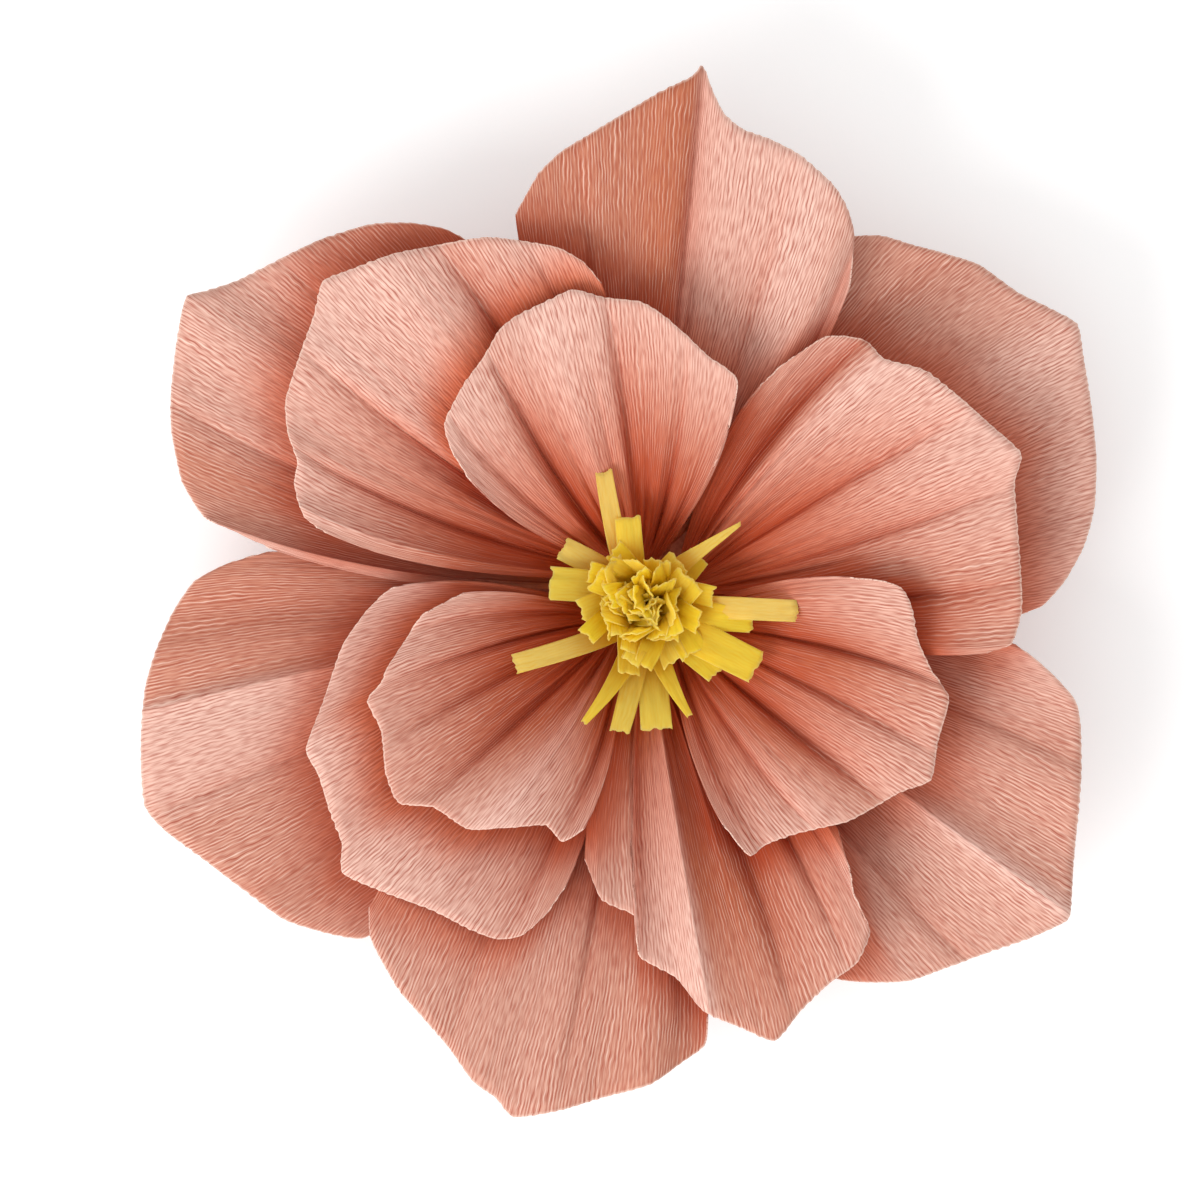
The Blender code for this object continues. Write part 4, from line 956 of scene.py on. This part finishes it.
def stripGuide(root, knee, tip, widths, twist, pale, seed):
    path = bend(np.array(root), np.array(knee), np.array(tip))
    out = np.gradient(path, axis=0)
    out /= np.linalg.norm(out, axis=1)[:, None]
    level = np.array([knee[0], knee[1], 0.0]) + np.array([tip[0], tip[1], 0.0])
    level = level / max(np.linalg.norm(level), 0.001)
    side = np.cross((0.0, 0.0, 1.0), level)
    side = side[None, :] - out * (out @ side)[:, None]
    side /= np.linalg.norm(side, axis=1)[:, None]
    turn = twist * np.linspace(0.0, 1.0, len(path))[:, None]
    side = side * np.cos(turn) + np.cross(out, side) * np.sin(turn)
    share = np.linspace(0.0, 1.0, len(path))
    width = widths[0] + (widths[1] - widths[0]) * share ** stripBend["widenPower"]
    return {"path": path, "side": side, "width": width, "pale": pale, "seed": seed}


def picturedGuide(strip, seed):
    start, tip = ((np.array(strip[end]) - centrePixel) * (pixel, -pixel) for end in ("from", "to"))
    rootRadius = min(roll["rootRadius"], np.hypot(*start))
    root = start * rootRadius / max(np.hypot(*start), 0.1)
    top = petalTop(np.hypot(*tip)) + strip["lift"]
    knee = start * stripBend["picturedKnee"]
    kneeTop = max(top - stripBend["picturedDrop"], petalTop(np.hypot(*start)) + strip["lift"])
    widths = [width * pixel for width in strip["widths"]]
    return stripGuide((*root, stripFoot), (*knee, kneeTop), (*tip, top), widths, 0.0, strip["pale"], seed)


def ringGuides(ring, seed):
    rng = np.random.default_rng(seed)
    form = stripBend
    guides = []
    for index in range(ring["count"]):
        turn = 2.0 * math.pi * (index + rng.uniform(-form["aside"], form["aside"])) / ring["count"]
        lean = turn + ring["sway"] * rng.uniform(-1.0, 1.0)
        reach = rng.uniform(*ring["reach"])
        top = rng.uniform(*ring["top"])
        outward = np.array([math.cos(turn), math.sin(turn)])
        leaning = np.array([math.cos(lean), math.sin(lean)])
        root = (*(outward * ring["root"]), stripFoot)
        knee = (*(outward * ring["root"] * form["kneeOut"]), top * form["kneeUp"])
        tip = (*(leaning * reach), top)
        width = rng.uniform(*ring["width"])
        twist = ring["twist"] * rng.uniform(-1.0, 1.0)
        guides.append(stripGuide(root, knee, tip, (width, width * rng.uniform(*form["widen"])), twist,
                                 rng.uniform(*form["pale"]), seed * seedShift["ringStep"] + index))
    return guides


def guideMesh(name, guides):
    vertices = np.concatenate([guide["path"] for guide in guides]) * mm
    steps = len(guides[0]["path"])
    edges = [(strip * steps + step, strip * steps + step + 1)
             for strip in range(len(guides)) for step in range(steps - 1)]
    shares = {
        "widthAt": np.concatenate([guide["width"] for guide in guides]) * mm,
        "seedAt": np.repeat([float(guide["seed"]) for guide in guides], steps),
        "deepToneAndShadeAt": np.repeat([1.0 - guide["pale"] for guide in guides], steps),
        "openAt": np.ones(len(vertices)),
    }
    side = np.concatenate([guide["side"] for guide in guides])
    return meshWithShares(name, vertices, edges, [], "sideAt", side, shares)


def makeStrips(name, node, guides, crinkle, tree, material):
    thing = addObject(name, guideMesh(name, guides))
    look = stripPaper
    addTree(thing, tree, {"Steps Along": look["stepsAlong"], "Steps Across": look["stepsAcross"],
                          "Crinkle Height": crinkle * mm, "Crinkle Pitch": look["crinklePitch"] * mm,
                          "Streak Length": look["streakLength"] * mm, "Ragged": look["ragged"] * mm,
                          "Ragged Pitch": look["raggedPitch"] * mm, "Paper": material})
    bakeCrepe(thing, look["thickness"], 0.0)
    finishPiece(thing, node)


def makeRing(name, node, innerRadius, outerRadius, top, material):
    # a plain round wall, solid where its inner radius is 0
    ring = bmesh.new()
    turns = [2.0 * math.pi * step / roll["sides"] for step in range(roll["sides"])]
    loops = []
    radii = [(outerRadius, stripFoot), (outerRadius, top)]
    if innerRadius > 0.0:
        radii += [(innerRadius, top), (innerRadius, stripFoot)]
    for radius, height in radii:
        loops.append([ring.verts.new((radius * math.cos(t) * mm, radius * math.sin(t) * mm, height * mm))
                      for t in turns])
    pairs = list(zip(loops, loops[1:]))
    if innerRadius > 0.0:
        pairs.append((loops[-1], loops[0]))
    else:
        ring.faces.new(list(reversed(loops[0])))
        ring.faces.new(loops[1])
    for low, high in pairs:
        for step in range(roll["sides"]):
            after = (step + 1) % roll["sides"]
            ring.faces.new((low[step], low[after], high[after], high[step]))
    bmesh.ops.recalc_face_normals(ring, faces=ring.faces)
    finishPiece(addObject(name, meshOf(ring, name, material)), node)


def meshOf(shape, name, material):
    mesh = bpy.data.meshes.new(name)
    shape.to_mesh(mesh)
    shape.free()
    mesh.materials.append(material)
    return mesh


# the round card that carries the layers, its rear face on the floor

card = {"radius": 35.0, "bevel": 0.4, "bevelSteps": 3, "sides": 96, "sharpFrom": 40.0,
        "light": (0.58, 0.17, 0.10), "dark": (0.44, 0.11, 0.06), "roughness": 0.9, "shine": 0.1,
        "fibrePitch": 1.2, "mottle": (0.3, 0.7), "bump": 0.3, "bumpHeight": 0.1}


def cardMaterial():
    material, tree, shader = newMaterial("salmonCard", card["roughness"], card["shine"])
    place = tree.nodes.new("ShaderNodeTexCoord")
    fibre = tree.nodes.new("ShaderNodeTexNoise")
    fibre.inputs["Scale"].default_value = 1.0 / (card["fibrePitch"] * mm)
    fibre.inputs["Detail"].default_value = 2.0
    tree.links.new(place.outputs["Object"], fibre.inputs["Vector"])
    mottle = ramp(tree, fibre.outputs["Fac"], *card["mottle"])
    tree.links.new(mixColour(tree, mottle, card["light"], card["dark"]), shader.inputs["Base Color"])
    bump = tree.nodes.new("ShaderNodeBump")
    bump.inputs["Strength"].default_value = card["bump"]
    bump.inputs["Distance"].default_value = card["bumpHeight"] * mm
    tree.links.new(mottle, bump.inputs["Height"])
    tree.links.new(bump.outputs[0], shader.inputs["Normal"])
    return material


def makeCard():
    disc = bmesh.new()
    bmesh.ops.create_cone(disc, cap_ends=True, segments=card["sides"], radius1=card["radius"] * mm,
                          radius2=card["radius"] * mm, depth=cardTop * mm)
    bmesh.ops.translate(disc, verts=disc.verts, vec=(0.0, 0.0, cardTop * mm / 2.0))
    corners = [edge for edge in disc.edges if abs(edge.verts[0].co.z - edge.verts[1].co.z) < 0.01 * mm]
    bmesh.ops.bevel(disc, geom=corners, offset=card["bevel"] * mm, segments=card["bevelSteps"],
                    affect="EDGES", profile=0.5)
    mesh = meshOf(disc, "cardDisc", cardMaterial())
    mesh.shade_smooth()
    mesh.set_sharp_from_angle(angle=math.radians(card["sharpFrom"]))
    finishPiece(addObject("cardDisc", mesh), "backing_card")


makeCamera()
makeWorld()
makeFloor()
makeLamp()
print("studio ready")

petalMaterial = crepeMaterial("salmonCrepe", petalCrepe)
ridges = crepeTree()
for petalName, petal in petals.items():
    makePetal(petalName, petal, ridges, petalMaterial)
print("petals done:", len(petals))

stamenMaterial = crepeMaterial("yellowCrepe", stamenCrepe)
strips = stripTree()
ringStrips = [guide for seed, ring in enumerate(stripRings[1:], 2) for guide in ringGuides(ring, seed)]
fringeStrips = [picturedGuide(strip, seedShift["pictured"] + place)
                for place, strip in enumerate(picturedStrips)]
fringeStrips += ringGuides(stripRings[0], 1)
makeStrips("rollStrips", "stamen_roll", ringStrips, stripPaper["rollCrinkle"], strips, stamenMaterial)
makeStrips("fringeStrips", "stamen_outer_fringe", fringeStrips, stripPaper["fringeCrinkle"], strips,
           stamenMaterial)
makeRing("rollCore", "stamen_roll", 0.0, roll["coreRadius"], roll["coreTop"], stamenMaterial)
makeRing("fringeWrap", "stamen_outer_fringe", roll["wrapInner"], roll["wrapOuter"], roll["wrapTop"],
         stamenMaterial)
print("stamens done:", len(ringStrips) + len(fringeStrips), "strips")
makeCard()
print("card done")
